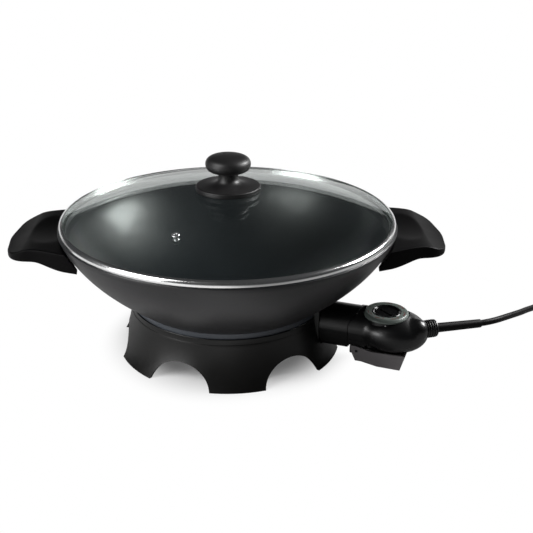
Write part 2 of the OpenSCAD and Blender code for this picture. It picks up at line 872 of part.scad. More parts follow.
module terminal_block() {
    color("#3b2f28")
    control_frame()
        difference() {
            along_x(block_in, block_out)
                polygon([[-nose_low_w / 2 + shell_t + 0.6, nose_z + shell_t + 0.1],
                         [nose_low_w / 2 - shell_t - 0.6, nose_z + shell_t + 0.1],
                         [nose_w / 2 - shell_t - 0.7, shoulder_z - 1],
                         [nose_w / 2 - shell_t - 0.7, shoulder_z + 4],
                         [-nose_w / 2 + shell_t + 0.7, shoulder_z + 4],
                         [-nose_w / 2 + shell_t + 0.7, shoulder_z - 1]]);
            for (side = [1, -1])
                translate([0, side * pin_gap / 2, pin_z])
                    rod(contact_r + fit, block_in - eps, block_out + eps);
            translate([0, 0, pin_z]) rod(probe_r + fit, block_in - eps, block_out + eps);
        }
}

module contact_sleeves() {
    color("#b9974f")
    control_frame()
        for (side = [1, -1])
            translate([0, side * pin_gap / 2, pin_z])
                difference() {
                    rod(contact_r, sleeve_in, sleeve_out);
                    rod(pin_r + fit, sleeve_in - eps, nose_in + pin_reach + 4);
                }
}

module probe_rod() {
    color("#c4c6c9")
    control_frame()
        translate([0, 0, pin_z]) {
            rod(probe_r, probe_tip + 4, unit_in);
            translate([probe_tip + 4, 0, 0]) sphere(r = probe_r, $fn = 32);
        }
}

module thermostat_unit() {
    color("#8a7a5c")
    control_frame() {
        block([unit_in, -unit_w / 2, split_z + 2], [unit_in + 4, unit_w / 2, unit_top]);
        block([unit_in, -unit_w / 2, split_z + 2], [dial_at + 14, unit_w / 2, split_z + 4.5]);
        block([dial_at - 5, -6, split_z + 2], [dial_at + 5, 6, unit_top]);
        for (side = [1, -1])
            block([unit_in, side * 7.5 - 2, unit_top - 3.4], [dial_at - 7, side * 7.5 + 2, unit_top - 2]);
    }
}

module cord_clamp() {
    color("#2e2f32")
    control_frame()
        difference() {
            block([dial_at + 16, -8, split_z + 2], [dial_at + 24, 8, gland_z + 1]);
            translate([dial_at + 20, 0, gland_z - 3.4]) rotate([0, 0, gland_turn / 2])
                rod(cord_r + 0.3, -12, 12);
            translate([205, 0, 0]) cylinder(r = post_r + slip, h = far);
        }
}

module cord_gland() {
    color("#1b1b1d")
    control_frame() at_gland()
        difference() {
            union() {
                rod(gland_r - 1.2, 0.05, gland_l);
                for (i = [0:2])
                    rod(gland_r, 1 + i * 4, 3.4 + i * 4);
                rod(gland_stem, -15, 0.1);
            }
            rod(sleeve_r + 0.6, gland_l - sleeve_seat - 0.5, gland_l + eps);
            rod(cord_r + 0.2, -16, gland_l - sleeve_seat);
        }
}

// ---------------------------------------------------------------- dial

module dial_ring() {
    color("#6f7a76")
    control_frame() translate([dial_at, 0, dial_z])
        rotate_extrude($fn = 96)
            polygon(concat([[cap_r - 2, 0], [dial_r - 1.2, 0], [dial_r - 0.2, 0.6]],
                           curve([dial_r, dial_h - 2.8], 92, 1.2, [dial_r - 2, dial_h], 165, 1.2, 5),
                           [[cap_r + slip, dial_h - 0.4], [cap_r + slip, 1.2], [cap_r - 2, 1.2]]));
}

module dial_cap() {
    color("#0e0e10")
    control_frame() translate([dial_at, 0, dial_z])
        difference() {
            rotate_extrude($fn = 96)
                polygon([[0, 0.2], [cap_r - 2.4, 0.2], [cap_r - 2.4, 1.2], [cap_r, 1.2],
                         [cap_r, dial_h - 0.6], [cap_r - 0.6, dial_h - 0.1],
                         [cap_r - 1.4, dial_h - 0.6], [cap_r - 2.2, dial_h - 1.8],
                         [0, dial_h - 1.8]]);
            translate([0, 0, -eps]) cylinder(r = spindle_r + fit, h = dial_h - 2.6 + eps);
        }
}

module dial_spindle() {
    color("#c9cbce")
    control_frame()
        translate([dial_at, 0, unit_top]) cylinder(r = spindle_r, h = dial_z + dial_h - 2.7 - unit_top);
}

// ---------------------------------------------------------------- release lever

module lever_side() {
    low = lever_low;
    tip = lever_at + lever_l;
    polygon([[lever_at - 7.5, lever_z + 5.9], [lever_at - 6.5, lever_z], [lever_at - 1, low + 3],
             [lever_at + 5.5, low + 3], [lever_at + 23, low], [tip - 4.5, low],
             [tip, lever_z + 2.6], [lever_at + 16, lever_z + 1.7], [lever_at, lever_z + 5.5]]);
}

module release_lever() {
    inner = lever_w - 2 * lever_t;
    color("#3a3a3d")
    control_frame()
        difference() {
            across_y(lever_w) lever_side();
            difference() {
                block([0, -inner / 2, 0], [far, inner / 2, far]);
                intersection() {
                    across_y(far) lever_side();
                    union() {
                        translate([lever_at + lever_l - 3, 0, 0]) rotate([0, 14, 0])
                            block([-3, -far, -far], [far, far, far]);
                        across_y(far)
                            polygon([[lever_at - 7, lever_low], [far, lever_low - 1],
                                     [far, lever_low + lever_t], [lever_at + 23, lever_low + lever_t],
                                     [lever_at + 5.5, lever_low + 3 + lever_t],
                                     [lever_at - 7, lever_low + 3 + lever_t]]);
                    }
                }
            }
            translate([lever_at, 0, lever_z]) rotate([90, 0, 0])
                cylinder(r = lever_pin_r + fit, h = far, center = true);
        }
}

module lever_pin() {
    color("#c9cbce")
    control_frame()
        translate([lever_at, 0, lever_z]) rotate([90, 0, 0])
            cylinder(r = lever_pin_r, h = pin_l, center = true);
}

module lever_spring() {
    color("#b4b6b8")
    control_frame()
        translate([lever_at, 0, lever_z]) rotate([90, 0, 0])
            difference() {
                cylinder(r = lever_pin_r + 1.6, h = 11, center = true);
                cylinder(r = lever_pin_r + 0.3, h = 12, center = true);
            }
}

// ---------------------------------------------------------------- cord

module cord_sleeve() {
    v = sleeve_to - sleeve_from;
    color("#17171a")
    translate(sleeve_from) rotate([0, 0, atan2(v[1], v[0])])
        rotate([0, 90 - asin(v[2] / norm(v)), 0])
            cylinder(r1 = sleeve_r, r2 = sleeve_end_r, h = norm(v));
}

module cord_run() {
    color("#17171a") tube(route, cord_r, 8);
}

// A point of the coil after t turns: in for half of them, out again for the rest,
// with the climb to the upper layer in the half turn where the spiral reverses
function coil_point(t) =
    let (half = coil_turns / 2, r = coil_r - coil_pitch * (half - abs(t - half)),
         up = min(max((t - half + 0.25) * 2, 0), 1), a = 180 - 360 * t)
    [coil_at[0] + r * cos(a), coil_at[1] + r * sin(a), coil_z + coil_layer * up];

coil_steps = coil_turns * coil_rings;
coil_end = coil_point(coil_turns);
plug_from = coil_end + tail * [0, -cos(plug_lean), sin(plug_lean)];
coil_path = concat([coil_point(0) - [0, tail, 0]],
                   [for (i = [0:coil_steps]) coil_point(i / coil_rings)], [plug_from]);
coil_gap = min([for (i = [0:coil_steps], j = [i + coil_rings / 2:coil_steps])
                norm(coil_path[i + 1] - coil_path[j + 1])]) - 2 * cord_r;
echo(coil_gap = coil_gap);

module cord_coil() {
    color("#17171a") tube(coil_path, cord_r, 6);
}

module coil_tie() {
    low = coil_r - 1.25 * coil_pitch - cord_r - 3 * slip;
    high = coil_r - 0.25 * coil_pitch + cord_r + slip;
    top = coil_z + coil_layer + cord_r + slip;
    color("#3c3e42")
    translate([coil_at[0], coil_at[1], 0]) rotate([0, 0, 90])
        across_y(9)
            difference() {
                translate([low - 0.8, 0.05]) square([high - low + 1.6, top + 0.75]);
                translate([low, 0.8]) square([high - low, top - 0.8]);
            }
}

module plug_frame() {
    translate(plug_from) rotate([0, 0, -90]) rotate([0, -plug_lean, 0]) children();
}

module plug_body() {
    color("#17171a")
    plug_frame()
        difference() {
            rotate([0, 90, 0])
                rotate_extrude($fn = 64)
                    polygon([[0, 0], [cord_r + 1, 0], [5.6, 18], [9, 21], [10.5, 30], [14, 35],
                             [plug_r, 37], [plug_r, 52], [plug_r - 1, 53], [0, 53]]);
            for (side = [1, -1])
                translate([0, side * 9.5, 0]) rod(2.4 + fit, 41, 60);
            rod(2.6, 38, 60);
        }
}

module plug_pins() {
    color("#c9cbce")
    plug_frame()
        for (side = [1, -1])
            translate([0, side * 9.5, 0]) rod(2.4, 41.2, 53 + plug_pin_l);
}

// ---------------------------------------------------------------- the pieces

wok_pan();
heating_element();
terminal_pins();
terminal_insulators();
inlet_shroud();
shroud_screws();
base_skirt();
base_screws();
left_handle();
right_handle();
left_handle_screws();
right_handle_screws();
lid_glass();
lid_band();
vent_eyelet();
lid_knob();
knob_gasket();
inner_gasket();
inner_washer();
knob_screw();
nose_housing();
body_housing();
bottom_cover();
cover_screws();
terminal_block();
contact_sleeves();
probe_rod();
thermostat_unit();
cord_clamp();
cord_gland();
dial_ring();
dial_cap();
dial_spindle();
release_lever();
lever_pin();
lever_spring();
cord_sleeve();
cord_run();
cord_coil();
coil_tie();
plug_body();
plug_pins();
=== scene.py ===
"""Dresses the electric wok: smooth shells, finishes, cord, table and camera, in the frame of its CAD model.

Shapes are worked out in millimetres, in the frame of the wok: the origin is on the table below the bowl's
axis, +X points to the right-hand handle, -Y to the cook and +Z up. The control has a frame of its own,
whose x runs out from the bowl's axis and whose y runs towards the back.
"""
from __future__ import annotations

import logging
import math
from collections.abc import Callable
from dataclasses import dataclass, field
from enum import Enum

import bmesh
import bpy
import numpy as np
from mathutils import Matrix, Vector


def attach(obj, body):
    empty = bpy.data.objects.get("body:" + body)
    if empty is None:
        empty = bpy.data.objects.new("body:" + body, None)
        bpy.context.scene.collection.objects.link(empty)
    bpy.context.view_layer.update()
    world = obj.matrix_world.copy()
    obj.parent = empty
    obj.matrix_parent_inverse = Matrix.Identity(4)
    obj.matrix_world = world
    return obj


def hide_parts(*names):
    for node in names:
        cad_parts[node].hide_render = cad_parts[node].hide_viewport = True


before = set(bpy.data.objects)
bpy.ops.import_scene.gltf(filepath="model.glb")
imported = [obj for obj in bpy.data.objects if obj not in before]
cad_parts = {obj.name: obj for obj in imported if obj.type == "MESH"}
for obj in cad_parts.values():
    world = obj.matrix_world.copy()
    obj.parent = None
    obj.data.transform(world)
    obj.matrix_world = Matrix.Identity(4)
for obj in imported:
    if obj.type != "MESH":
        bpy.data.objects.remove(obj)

LOG = logging.getLogger("wok")
MM = 0.001
TURN = 2 * math.pi
CONTROL_TURN = 68.0  # degrees from the front towards the right
ALONG_X = Matrix.Rotation(math.pi / 2, 4, "Y")  # lays a piece that is turned about Z along x

Colour = tuple[float, float, float]
Ends = Callable[[np.ndarray, np.ndarray], tuple[np.ndarray, np.ndarray]]


# ------------------------------------------------------------------ shader maths


class Sock:
    """A shader socket whose arithmetic adds Math nodes to its tree."""

    def __init__(self, writer: "Writer", socket: bpy.types.NodeSocket) -> None:
        """Wraps a socket.

        Args:
            writer: the writer of the tree that the socket belongs to.
            socket: an output socket that carries a number.
        """
        self.writer = writer
        self.socket = socket

    def _math(self, operation: str, first: object, second: object = None) -> "Sock":
        """Adds one Math node.

        Args:
            operation: the Math node's operation.
            first: a number or a Sock.
            second: a number, a Sock, or nothing for an operation on one value.

        Returns:
            The node's output.
        """
        values = {0: first} if second is None else {0: first, 1: second}
        return self.writer.node("ShaderNodeMath", {"operation": operation}, values)

    def __add__(self, other: object) -> "Sock":
        """Sum."""
        return self._math("ADD", self, other)

    def __mul__(self, other: object) -> "Sock":
        """Product."""
        return self._math("MULTIPLY", self, other)

    def __rsub__(self, other: float) -> "Sock":
        """Difference from a plain number."""
        return self._math("SUBTRACT", other, self)

    def root(self) -> "Sock":
        """Square root."""
        return self._math("SQRT", self)

    def angle(self, other: object) -> "Sock":
        """Angle of the point (other, this), in radians."""
        return self._math("ARCTAN2", self, other)

    def ramp(self, low: float, high: float) -> "Sock":
        """Rises smoothly from 0 at low to 1 at high.

        Args:
            low: the value that gives 0.
            high: the value that gives 1.

        Returns:
            The ramped value.
        """
        values = {"Value": self, "From Min": low, "From Max": high}
        return self.writer.node("ShaderNodeMapRange", {"interpolation_type": "SMOOTHSTEP"}, values)


class Writer:
    """Writes the nodes of one material."""

    def __init__(self, name: str) -> None:
        """Starts an empty material.

        Args:
            name: the material's name.
        """
        self.material = bpy.data.materials.new(f"{name}_finish")
        self.material.use_nodes = True
        self.tree = self.material.node_tree
        self.tree.nodes.clear()

    def node(self, kind: str, settings: dict, values: dict, output: int | str = 0) -> Sock:
        """Adds one node.

        Args:
            kind: the node's type.
            settings: the node's own properties, set before its sockets.
            values: socket name or number to a plain value or a Sock.
            output: name or number of the output that is wanted.

        Returns:
            That output.
        """
        made = self.tree.nodes.new(kind)
        for key, value in settings.items():
            setattr(made, key, value)
        for key, value in values.items():
            socket = made.inputs[key]
            if isinstance(value, Sock):
                self.tree.links.new(value.socket, socket)
            else:
                socket.default_value = value
        return Sock(self, made.outputs[output])

    def outputs(self, kind: str, values: dict, wanted: tuple) -> list[Sock]:
        """Adds one node of which several outputs are wanted.

        Args:
            kind: the node's type.
            values: socket name or number to a plain value or a Sock.
            wanted: names or numbers of the outputs.

        Returns:
            Those outputs.
        """
        made = self.node(kind, {}, values).socket.node
        return [Sock(self, made.outputs[key]) for key in wanted]

    def place(self) -> Sock:
        """Object coordinates, in metres."""
        return self.node("ShaderNodeTexCoord", {}, {}, "Object")

    def noise(self, vector: Sock, scale: float, detail: float = 2.0, rough: float = 0.5) -> Sock:
        """Smooth noise.

        Args:
            vector: where it is read.
            scale: waves per metre.
            detail: number of finer octaves.
            rough: weight of the finer octaves.

        Returns:
            A value near 0.5.
        """
        values = {"Vector": vector, "Scale": scale, "Detail": detail, "Roughness": rough}
        return self.node("ShaderNodeTexNoise", {}, values)

    def dots(self, vector: Sock, scale: float) -> Sock:
        """Distance to the nearest of the points scattered through space, in cells."""
        return self.node("ShaderNodeTexVoronoi", {}, {"Vector": vector, "Scale": scale}, "Distance")

    def mix(self, factor: object, low: object, high: object) -> Sock:
        """Mixes two colours.

        Args:
            factor: 0 gives low and 1 gives high.
            low: a colour or a Sock.
            high: a colour or a Sock.

        Returns:
            The mixed colour.
        """
        wide = [(*c, 1.0) if isinstance(c, tuple) and len(c) == 3 else c for c in (low, high)]
        return self.node("ShaderNodeMix", {"data_type": "RGBA"}, {0: factor, 6: wide[0], 7: wide[1]}, 2)

    def bump(self, height: Sock, depth: float, strength: float = 1.0) -> Sock:
        """Turns a height of 0 to 1 into a normal.

        Args:
            height: the height.
            depth: depth of the relief, in metres.
            strength: weight of the relief.

        Returns:
            The normal.
        """
        return self.node("ShaderNodeBump", {}, {"Height": height, "Distance": depth, "Strength": strength})

    def finish(self, values: dict) -> bpy.types.Material:
        """Ends the material with a Principled shader of the given sockets."""
        return self.output(self.node("ShaderNodeBsdfPrincipled", {}, values))

    def output(self, shader: Sock) -> bpy.types.Material:
        """Ends the material with any shader.

        Args:
            shader: the surface.

        Returns:
            The material.
        """
        end = self.tree.nodes.new("ShaderNodeOutputMaterial")
        self.tree.links.new(shader.socket, end.inputs["Surface"])
        return self.material


# ------------------------------------------------------------------ finishes


def shaded(colour: Colour, factor: float) -> Colour:
    """A colour times a factor."""
    return tuple(c * factor for c in colour)


@dataclass(frozen=True)
class Moulding:
    """Moulded plastic or rubber: one colour with faint clouding, and a fine moulded grain."""

    name: str
    colour: Colour
    roughness: float
    grain: float = 900.0
    depth: float = 0.00002
    strength: float = 0.3
    cloud: float = 0.12
    coat: float = 0.0
    shine: float = 0.5
    cloud_scale: float = 28.0
    coat_roughness: float = 0.04

    def material(self) -> bpy.types.Material:
        """Builds the material."""
        w = Writer(self.name)
        place = w.place()
        clouds = w.noise(place, self.cloud_scale, detail=3.0).ramp(0.3, 0.7)
        grain = w.noise(place, self.grain, detail=3.0, rough=0.6)
        low, high = shaded(self.colour, 1 - self.cloud), shaded(self.colour, 1 + self.cloud)
        return w.finish({
            "Base Color": w.mix(clouds, low, high),
            "Roughness": clouds * 0.05 + grain * 0.04 + (self.roughness - 0.045),
            "Specular IOR Level": self.shine,
            "Coat Weight": self.coat,
            "Coat Roughness": self.coat_roughness,
            "Normal": w.bump(grain, self.depth, self.strength),
        })


@dataclass(frozen=True)
class Coating:
    """Non-stick coating on cast metal: fine pale and dark flecks under a soft sheen."""

    name: str
    colour: Colour
    fleck: Colour
    amount: float
    roughness: float
    coat: float
    shine: float = 0.5
    relief: float = 0.35
    relief_depth: float = 0.00006
    fleck_scale: float = 520.0
    dark_scale: float = 369.2
    cast_scale: float = 320.0
    cloud_scale: float = 14.0
    coat_roughness: float = 0.18

    def material(self) -> bpy.types.Material:
        """Builds the material."""
        w = Writer(self.name)
        place = w.place()
        clouds = w.noise(place, self.cloud_scale, detail=4.0).ramp(0.3, 0.7)
        pale = 1 - w.dots(place, self.fleck_scale).ramp(0.14, 0.26)
        dark = 1 - w.dots(place, self.dark_scale).ramp(0.12, 0.24)
        cast = w.noise(place, self.cast_scale, detail=4.0, rough=0.65)
        base = w.mix(clouds * 0.5, self.colour, shaded(self.colour, 1.25))
        dimmed = w.mix(dark * 0.6, base, shaded(self.colour, 0.4))
        return w.finish({
            "Base Color": w.mix(pale * self.amount, dimmed, self.fleck),
            "Roughness": clouds * 0.06 + cast * 0.08 + (self.roughness - 0.07),
            "Specular IOR Level": self.shine,
            "Coat Weight": self.coat,
            "Coat Roughness": self.coat_roughness,
            "Normal": w.bump(cast + pale * 0.5, self.relief_depth, self.relief),
        })


@dataclass(frozen=True)
class Metal:
    """Bare metal, with fine lines that run round the bowl's axis where it is turned or rolled."""

    name: str
    colour: Colour
    roughness: float
    lines: float = 0.25
    line_depth: float = 0.00002
    line_scale: float = 60.0
    smudge_scale: float = 35.0

    def material(self) -> bpy.types.Material:
        """Builds the material."""
        w = Writer(self.name)
        place = w.place()
        x, y, z = w.outputs("ShaderNodeSeparateXYZ", {0: place}, (0, 1, 2))
        radius = (x * x + y * y).root()
        turned = w.node("ShaderNodeCombineXYZ", {}, {0: radius * 40.0, 1: y.angle(x) * 0.6, 2: z * 40.0})
        lines = w.noise(turned, self.line_scale, detail=3.0, rough=0.65)
        smudge = w.noise(place, self.smudge_scale, detail=3.0).ramp(0.35, 0.7)
        return w.finish({
            "Base Color": w.mix(smudge, self.colour, shaded(self.colour, 0.9)),
            "Metallic": 1.0,
            "Roughness": smudge * 0.05 + lines * 0.1 * self.lines + self.roughness,
            "Normal": w.bump(lines, self.line_depth, self.lines),
        })


@dataclass(frozen=True)
class ClearGlass:
    """Clear tempered glass: seen through, with a reflection that grows with the fifth power of the slant."""

    name: str
    tint: Colour
    mirror: float = 0.7
    veil: float = 0.005
    facing: float = 0.04
    sheen: Colour = (0.9, 0.93, 0.92)

    def material(self) -> bpy.types.Material:
        """Builds the material."""
        w = Writer(self.name)
        smear = w.noise(w.place(), 18.0, detail=3.0).ramp(0.45, 0.75)
        slant = w.node("ShaderNodeLayerWeight", {}, {"Blend": 0.5}, "Facing")
        mirror = slant * slant * slant * slant * slant * (1 - self.facing) + self.facing
        clear = w.node("ShaderNodeBsdfTransparent", {}, {"Color": (*self.tint, 1.0)})
        gloss = w.node("ShaderNodeBsdfPrincipled", {}, {
            "Base Color": (*self.sheen, 1.0),
            "Metallic": 1.0,
            "Roughness": smear * 0.03 + 0.02,
        })
        factor = mirror * self.mirror + smear * self.veil + self.veil
        return w.output(w.node("ShaderNodeMixShader", {}, {0: factor, 1: clear, 2: gloss}))


@dataclass(frozen=True)
class Ink:
    """Printed marks: an even colour with a slightly worn surface."""

    name: str
    colour: Colour

    def material(self) -> bpy.types.Material:
        """Builds the material."""
        w = Writer(self.name)
        wear = w.noise(w.place(), 900.0, 2.0)
        return w.finish({
            "Base Color": w.mix(wear * 0.25, self.colour, shaded(self.colour, 0.6)),
            "Roughness": wear * 0.1 + 0.4,
        })


class Finish(Enum):
    """The finishes of the wok, and the one slot of the record that each goes by."""

    BOWL_OUT = ("bowl_coating", Coating(
        "bowl_outside", (0.012, 0.0115, 0.0125), fleck=(0.04, 0.04, 0.044), amount=0.10, roughness=0.40,
        coat=0.0, shine=0.4))
    BOWL_FOOT = ("bowl_coating", Coating(
        "bowl_foot", (0.040, 0.046, 0.056), fleck=(0.10, 0.11, 0.12), amount=0.15, roughness=0.40, coat=0.0))
    BOWL_IN = ("bowl_coating", Coating(
        "bowl_inside", (0.007, 0.009, 0.011), fleck=(0.05, 0.06, 0.07), amount=0.30, roughness=0.38,
        coat=0.15, relief=0.7))
    ELEMENT = ("element_steel", Metal("element_steel", (0.40, 0.39, 0.38), 0.42))
    BRIGHT = ("bright_metal", Metal("bright_metal", (0.80, 0.80, 0.81), 0.14))
    EYELET = ("bright_metal", Metal("eyelet_metal", (0.80, 0.80, 0.81), 0.32))
    DARK_PIN = ("bright_metal", Metal("dark_pin", (0.03, 0.03, 0.03), 0.4))
    SCREW = ("screw_steel", Metal("screw_steel", (0.55, 0.55, 0.56), 0.30))
    DARK_SCREW = ("screw_steel", Metal("dark_screw", (0.03, 0.03, 0.03), 0.5))
    BRASS = ("brass", Metal("brass", (0.72, 0.52, 0.22), 0.3))
    UNIT = ("unit_metal", Metal("unit_metal", (0.55, 0.45, 0.28), 0.4))
    BAND = ("band_steel", Metal("band_steel", (0.86, 0.86, 0.86), 0.16, lines=0.35))
    GLASS = ("lid_glass", ClearGlass("lid_glass", (0.965, 0.985, 0.975)))
    CERAMIC = ("ceramic", Moulding("ceramic", (0.80, 0.77, 0.70), 0.45, grain=400.0))
    GASKET = ("grey_rubber", Moulding("grey_rubber", (0.15, 0.15, 0.16), 0.6))
    RESIN = ("moulded_resin", Moulding("moulded_resin", (0.05, 0.035, 0.028), 0.5))
    TIE = ("tie_plastic", Moulding("tie_plastic", (0.05, 0.05, 0.055), 0.5))
    SHROUD = ("shroud_plastic", Moulding(
        "shroud_plastic", (0.020, 0.022, 0.020), 0.5, grain=700.0, depth=0.00004, strength=0.5, cloud=0.25))
    BASE = ("base_plastic", Moulding(
        "base_plastic", (0.002, 0.0018, 0.0016), 0.34, grain=1100.0, depth=0.00003, strength=0.4, shine=0.35))
    HANDLE = ("handle_plastic", Moulding(
        "handle_plastic", (0.0022, 0.002, 0.0022), 0.46, grain=1200.0, depth=0.00003, strength=0.35,
        shine=0.05))
    KNOB = ("knob_plastic", Moulding(
        "knob_plastic", (0.007, 0.0065, 0.0068), 0.46, grain=1000.0, depth=0.00003, strength=0.4))
    CONTROL = ("control_plastic", Moulding(
        "control_plastic", (0.002, 0.002, 0.0022), 0.33, grain=60.0, depth=0.00001, strength=0.1, cloud=0.1))
    CORD = ("cord_rubber", Moulding(
        "cord_rubber", (0.004, 0.0036, 0.0038), 0.46, grain=700.0, strength=0.2, shine=0.08))
    DIAL = ("dial_plastic", Moulding("dial_plastic", (0.10, 0.12, 0.108), 0.40, grain=700.0, depth=0.00003))
    CAP = ("cap_plastic", Moulding(
        "cap_plastic", (0.004, 0.004, 0.0045), 0.16, grain=60.0, depth=0.00001, strength=0.1, cloud=0.1,
        coat=0.2))
    # The lever's grey is partly its own colour and partly painted light: it is lighter than the real part, to
    # stand in for the light on its shaded underside.
    LEVER = ("lever_plastic", Moulding(
        "lever_plastic", (0.12, 0.113, 0.116), 0.55, depth=0.00004, strength=0.4, shine=0.4))
    RED_INK = ("dial_plastic", Ink("red_ink", (0.11, 0.004, 0.006)))
    WHITE_INK = ("control_plastic", Ink("white_ink", (0.75, 0.75, 0.75)))

    @property
    def slot(self) -> str:
        """The record's material slot."""
        return self.value[0]

    def material(self) -> bpy.types.Material:
        """The finish's material, built on first use."""
        recipe = self.value[1]
        return bpy.data.materials.get(f"{recipe.name}_finish") or recipe.material()


# ------------------------------------------------------------------ shapes


def curve(p: tuple, a: float, la: float, q: tuple, b: float, lb: float, n: int = 24) -> np.ndarray:
    """Cubic curve from p to q. The inner control points lie at distance la from p and lb from q.

    Args:
        p: first point.
        a: direction in which the curve leaves p, in degrees.
        la: distance of the first inner control point from p.
        q: last point.
        b: direction in which the curve reaches q, in degrees.
        lb: distance of the second inner control point from q.
        n: number of steps.

    Returns:
        Points, one row each.
    """
    a, b = math.radians(a), math.radians(b)
    p, q = np.array(p, float), np.array(q, float)
    p1 = p + la * np.array([math.cos(a), math.sin(a)])
    q1 = q - lb * np.array([math.cos(b), math.sin(b)])
    t = np.linspace(0, 1, n + 1)[:, None]
    s = 1 - t
    return s**3 * p + 3 * s * s * t * p1 + 3 * s * t * t * q1 + t**3 * q


def rounded(corners: list[tuple], steps: int = 5) -> np.ndarray:
    """An outline whose corners are rounded by short quadratic curves.

    Args:
        corners: (x, y, cut) for each corner, where cut is how far from it the rounding starts.
        steps: steps of each rounding.

    Returns:
        Points, one row each, of the closed outline.
    """
    pts = np.array([c[:2] for c in corners], float)
    cut = np.array([c[2] for c in corners], float)
    before = np.roll(pts, 1, axis=0) - pts
    after = np.roll(pts, -1, axis=0) - pts
    reach_b = np.linalg.norm(before, axis=1)
    reach_a = np.linalg.norm(after, axis=1)
    cut = np.minimum(cut, 0.49 * np.minimum(reach_a, reach_b))[:, None]
    start = pts + before / reach_b[:, None] * cut
    end = pts + after / reach_a[:, None] * cut
    t = np.linspace(0, 1, steps + 1)[None, :, None]
    arcs = (1 - t) ** 2 * start[:, None] + 2 * t * (1 - t) * pts[:, None] + t * t * end[:, None]
    sharp = cut[:, 0] < 1e-6
    rows = [arc[:1] if flat else arc for arc, flat in zip(arcs, sharp)]
    return np.concatenate(rows)


def smooth_min(a: np.ndarray, b: np.ndarray, k: float) -> np.ndarray:
    """The smaller of a and b, with their crossing rounded over a width of about k."""
    h = np.clip(0.5 + 0.5 * (b - a) / k, 0, 1)
    return b * (1 - h) + a * h - k * h * (1 - h)


def smooth_max(a: np.ndarray, b: np.ndarray, k: float) -> np.ndarray:
    """The larger of a and b, with their crossing rounded over a width of about k."""
    return -smooth_min(-a, -b, k)


def polar(outline: np.ndarray, centre: tuple[float, float], angles: np.ndarray) -> np.ndarray:
    """Distance from a centre to an outline that can all be seen from there.

    Args:
        outline: points of the closed outline.
        centre: the centre.
        angles: directions, in radians.

    Returns:
        The distance in each direction.
    """
    rel = outline - np.array(centre)
    around = np.arctan2(rel[:, 1], rel[:, 0])
    order = np.argsort(around)
    return np.interp(angles, around[order], np.hypot(rel[:, 0], rel[:, 1])[order], period=TURN)


def dense(outline: np.ndarray, step: float = 0.4) -> np.ndarray:
    """A closed outline with its points spread evenly along its length.

    Args:
        outline: points of the closed outline.
        step: distance between two points.

    Returns:
        The new points.
    """
    nxt = np.roll(outline, -1, axis=0)
    lengths = np.linalg.norm(nxt - outline, axis=1)
    along = np.concatenate([[0], np.cumsum(lengths)])
    where = np.linspace(0, along[-1], int(along[-1] / step) + 1)[:-1]
    closed = np.vstack([outline, outline[:1]])
    return np.stack([np.interp(where, along, closed[:, i]) for i in range(2)], axis=1)


def dense_profile(profile: np.ndarray, step: float = 2.0) -> np.ndarray:
    """A closed profile that keeps its points and gets more of them along its longer edges.

    Args:
        profile: points of the closed profile.
        step: the least length of the parts that a longer edge is cut into.

    Returns:
        The points.
    """
    nxt = np.roll(profile, -1, axis=0)
    rows = [p + (q - p) * np.linspace(0, 1, max(2, int(np.linalg.norm(q - p) / step) + 1))[:-1, None]
            for p, q in zip(profile, nxt)]
    return np.concatenate(rows)


@dataclass
class Patch:
    """One closed surface: its points in millimetres and its faces."""

    points: np.ndarray
    faces: np.ndarray
    tags: np.ndarray

    @staticmethod
    def grid(points: np.ndarray, wrap_rows: bool, wrap_cols: bool,
             row_tags: np.ndarray | None = None) -> "Patch":
        """A patch from a grid of points. Each cell of the grid is one face.

        Args:
            points: rows, columns, 3.
            wrap_rows: the last row joins the first.
            wrap_cols: the last column joins the first.
            row_tags: the number of the finish for each row of faces.

        Returns:
            The patch.
        """
        rows, cols = points.shape[:2]
        index = np.arange(rows * cols).reshape(rows, cols)
        if wrap_rows:
            index = np.vstack([index, index[:1]])
        if wrap_cols:
            index = np.hstack([index, index[:, :1]])
        faces = np.stack([index[:-1, :-1], index[:-1, 1:], index[1:, 1:], index[1:, :-1]], axis=-1)
        tags = np.zeros(faces.shape[:2], int)
        if row_tags is not None:
            tags += np.asarray(row_tags, int)[:, None]
        return Patch(points.reshape(-1, 3), faces.reshape(-1, 4), tags.reshape(-1)).outward()

    def outward(self) -> "Patch":
        """Turns the faces round if they enclose a negative volume, which means that they face inwards.

        Returns:
            The patch itself.
        """
        a, b, c, d = (self.points[self.faces[:, i]] for i in range(4))
        volume = (a * np.cross(b, c)).sum() + (a * np.cross(c, d)).sum()
        if volume < 0:
            self.faces = self.faces[:, ::-1]
        return self

    def moved(self, matrix: Matrix) -> "Patch":
        """The patch in another place.

        Args:
            matrix: a rotation and a shift in millimetres.

        Returns:
            The moved patch.
        """
        m = np.array(matrix)
        return Patch(self.points @ m[:3, :3].T + m[:3, 3], self.faces, self.tags)


def revolve(profile: np.ndarray, count: int = 192, tags: np.ndarray | None = None) -> Patch:
    """Turns a closed profile in (radius, height) about Z. A profile that touches the axis makes a pole there.

    Args:
        profile: points of the closed profile.
        count: number of steps round the axis.
        tags: the number of the finish for each edge of the profile.

    Returns:
        The closed surface.
    """
    turn = np.linspace(0, TURN, count, endpoint=False)
    r, z = profile[:, 0][:, None], profile[:, 1][:, None]
    points = np.stack([r * np.cos(turn), r * np.sin(turn), z + 0 * turn], axis=-1)
    return Patch.grid(points, True, True, tags)


def prism(outline: np.ndarray, low: float, high: float) -> Patch:
    """Carries a closed outline in (x, y) up, and closes each end with a fan of faces round its middle.

    Args:
        outline: points of the outline, which can all be seen from their middle.
        low: height of the lower end.
        high: height of the upper end.

    Returns:
        The patch.
    """
    middle = np.repeat(outline.mean(axis=0)[None], len(outline), axis=0)
    rings = [(middle, low), (outline, low), (outline, high), (middle, high)]
    grid = np.stack([np.column_stack([ring, np.full(len(ring), z)]) for ring, z in rings])
    return Patch.grid(grid, False, True)


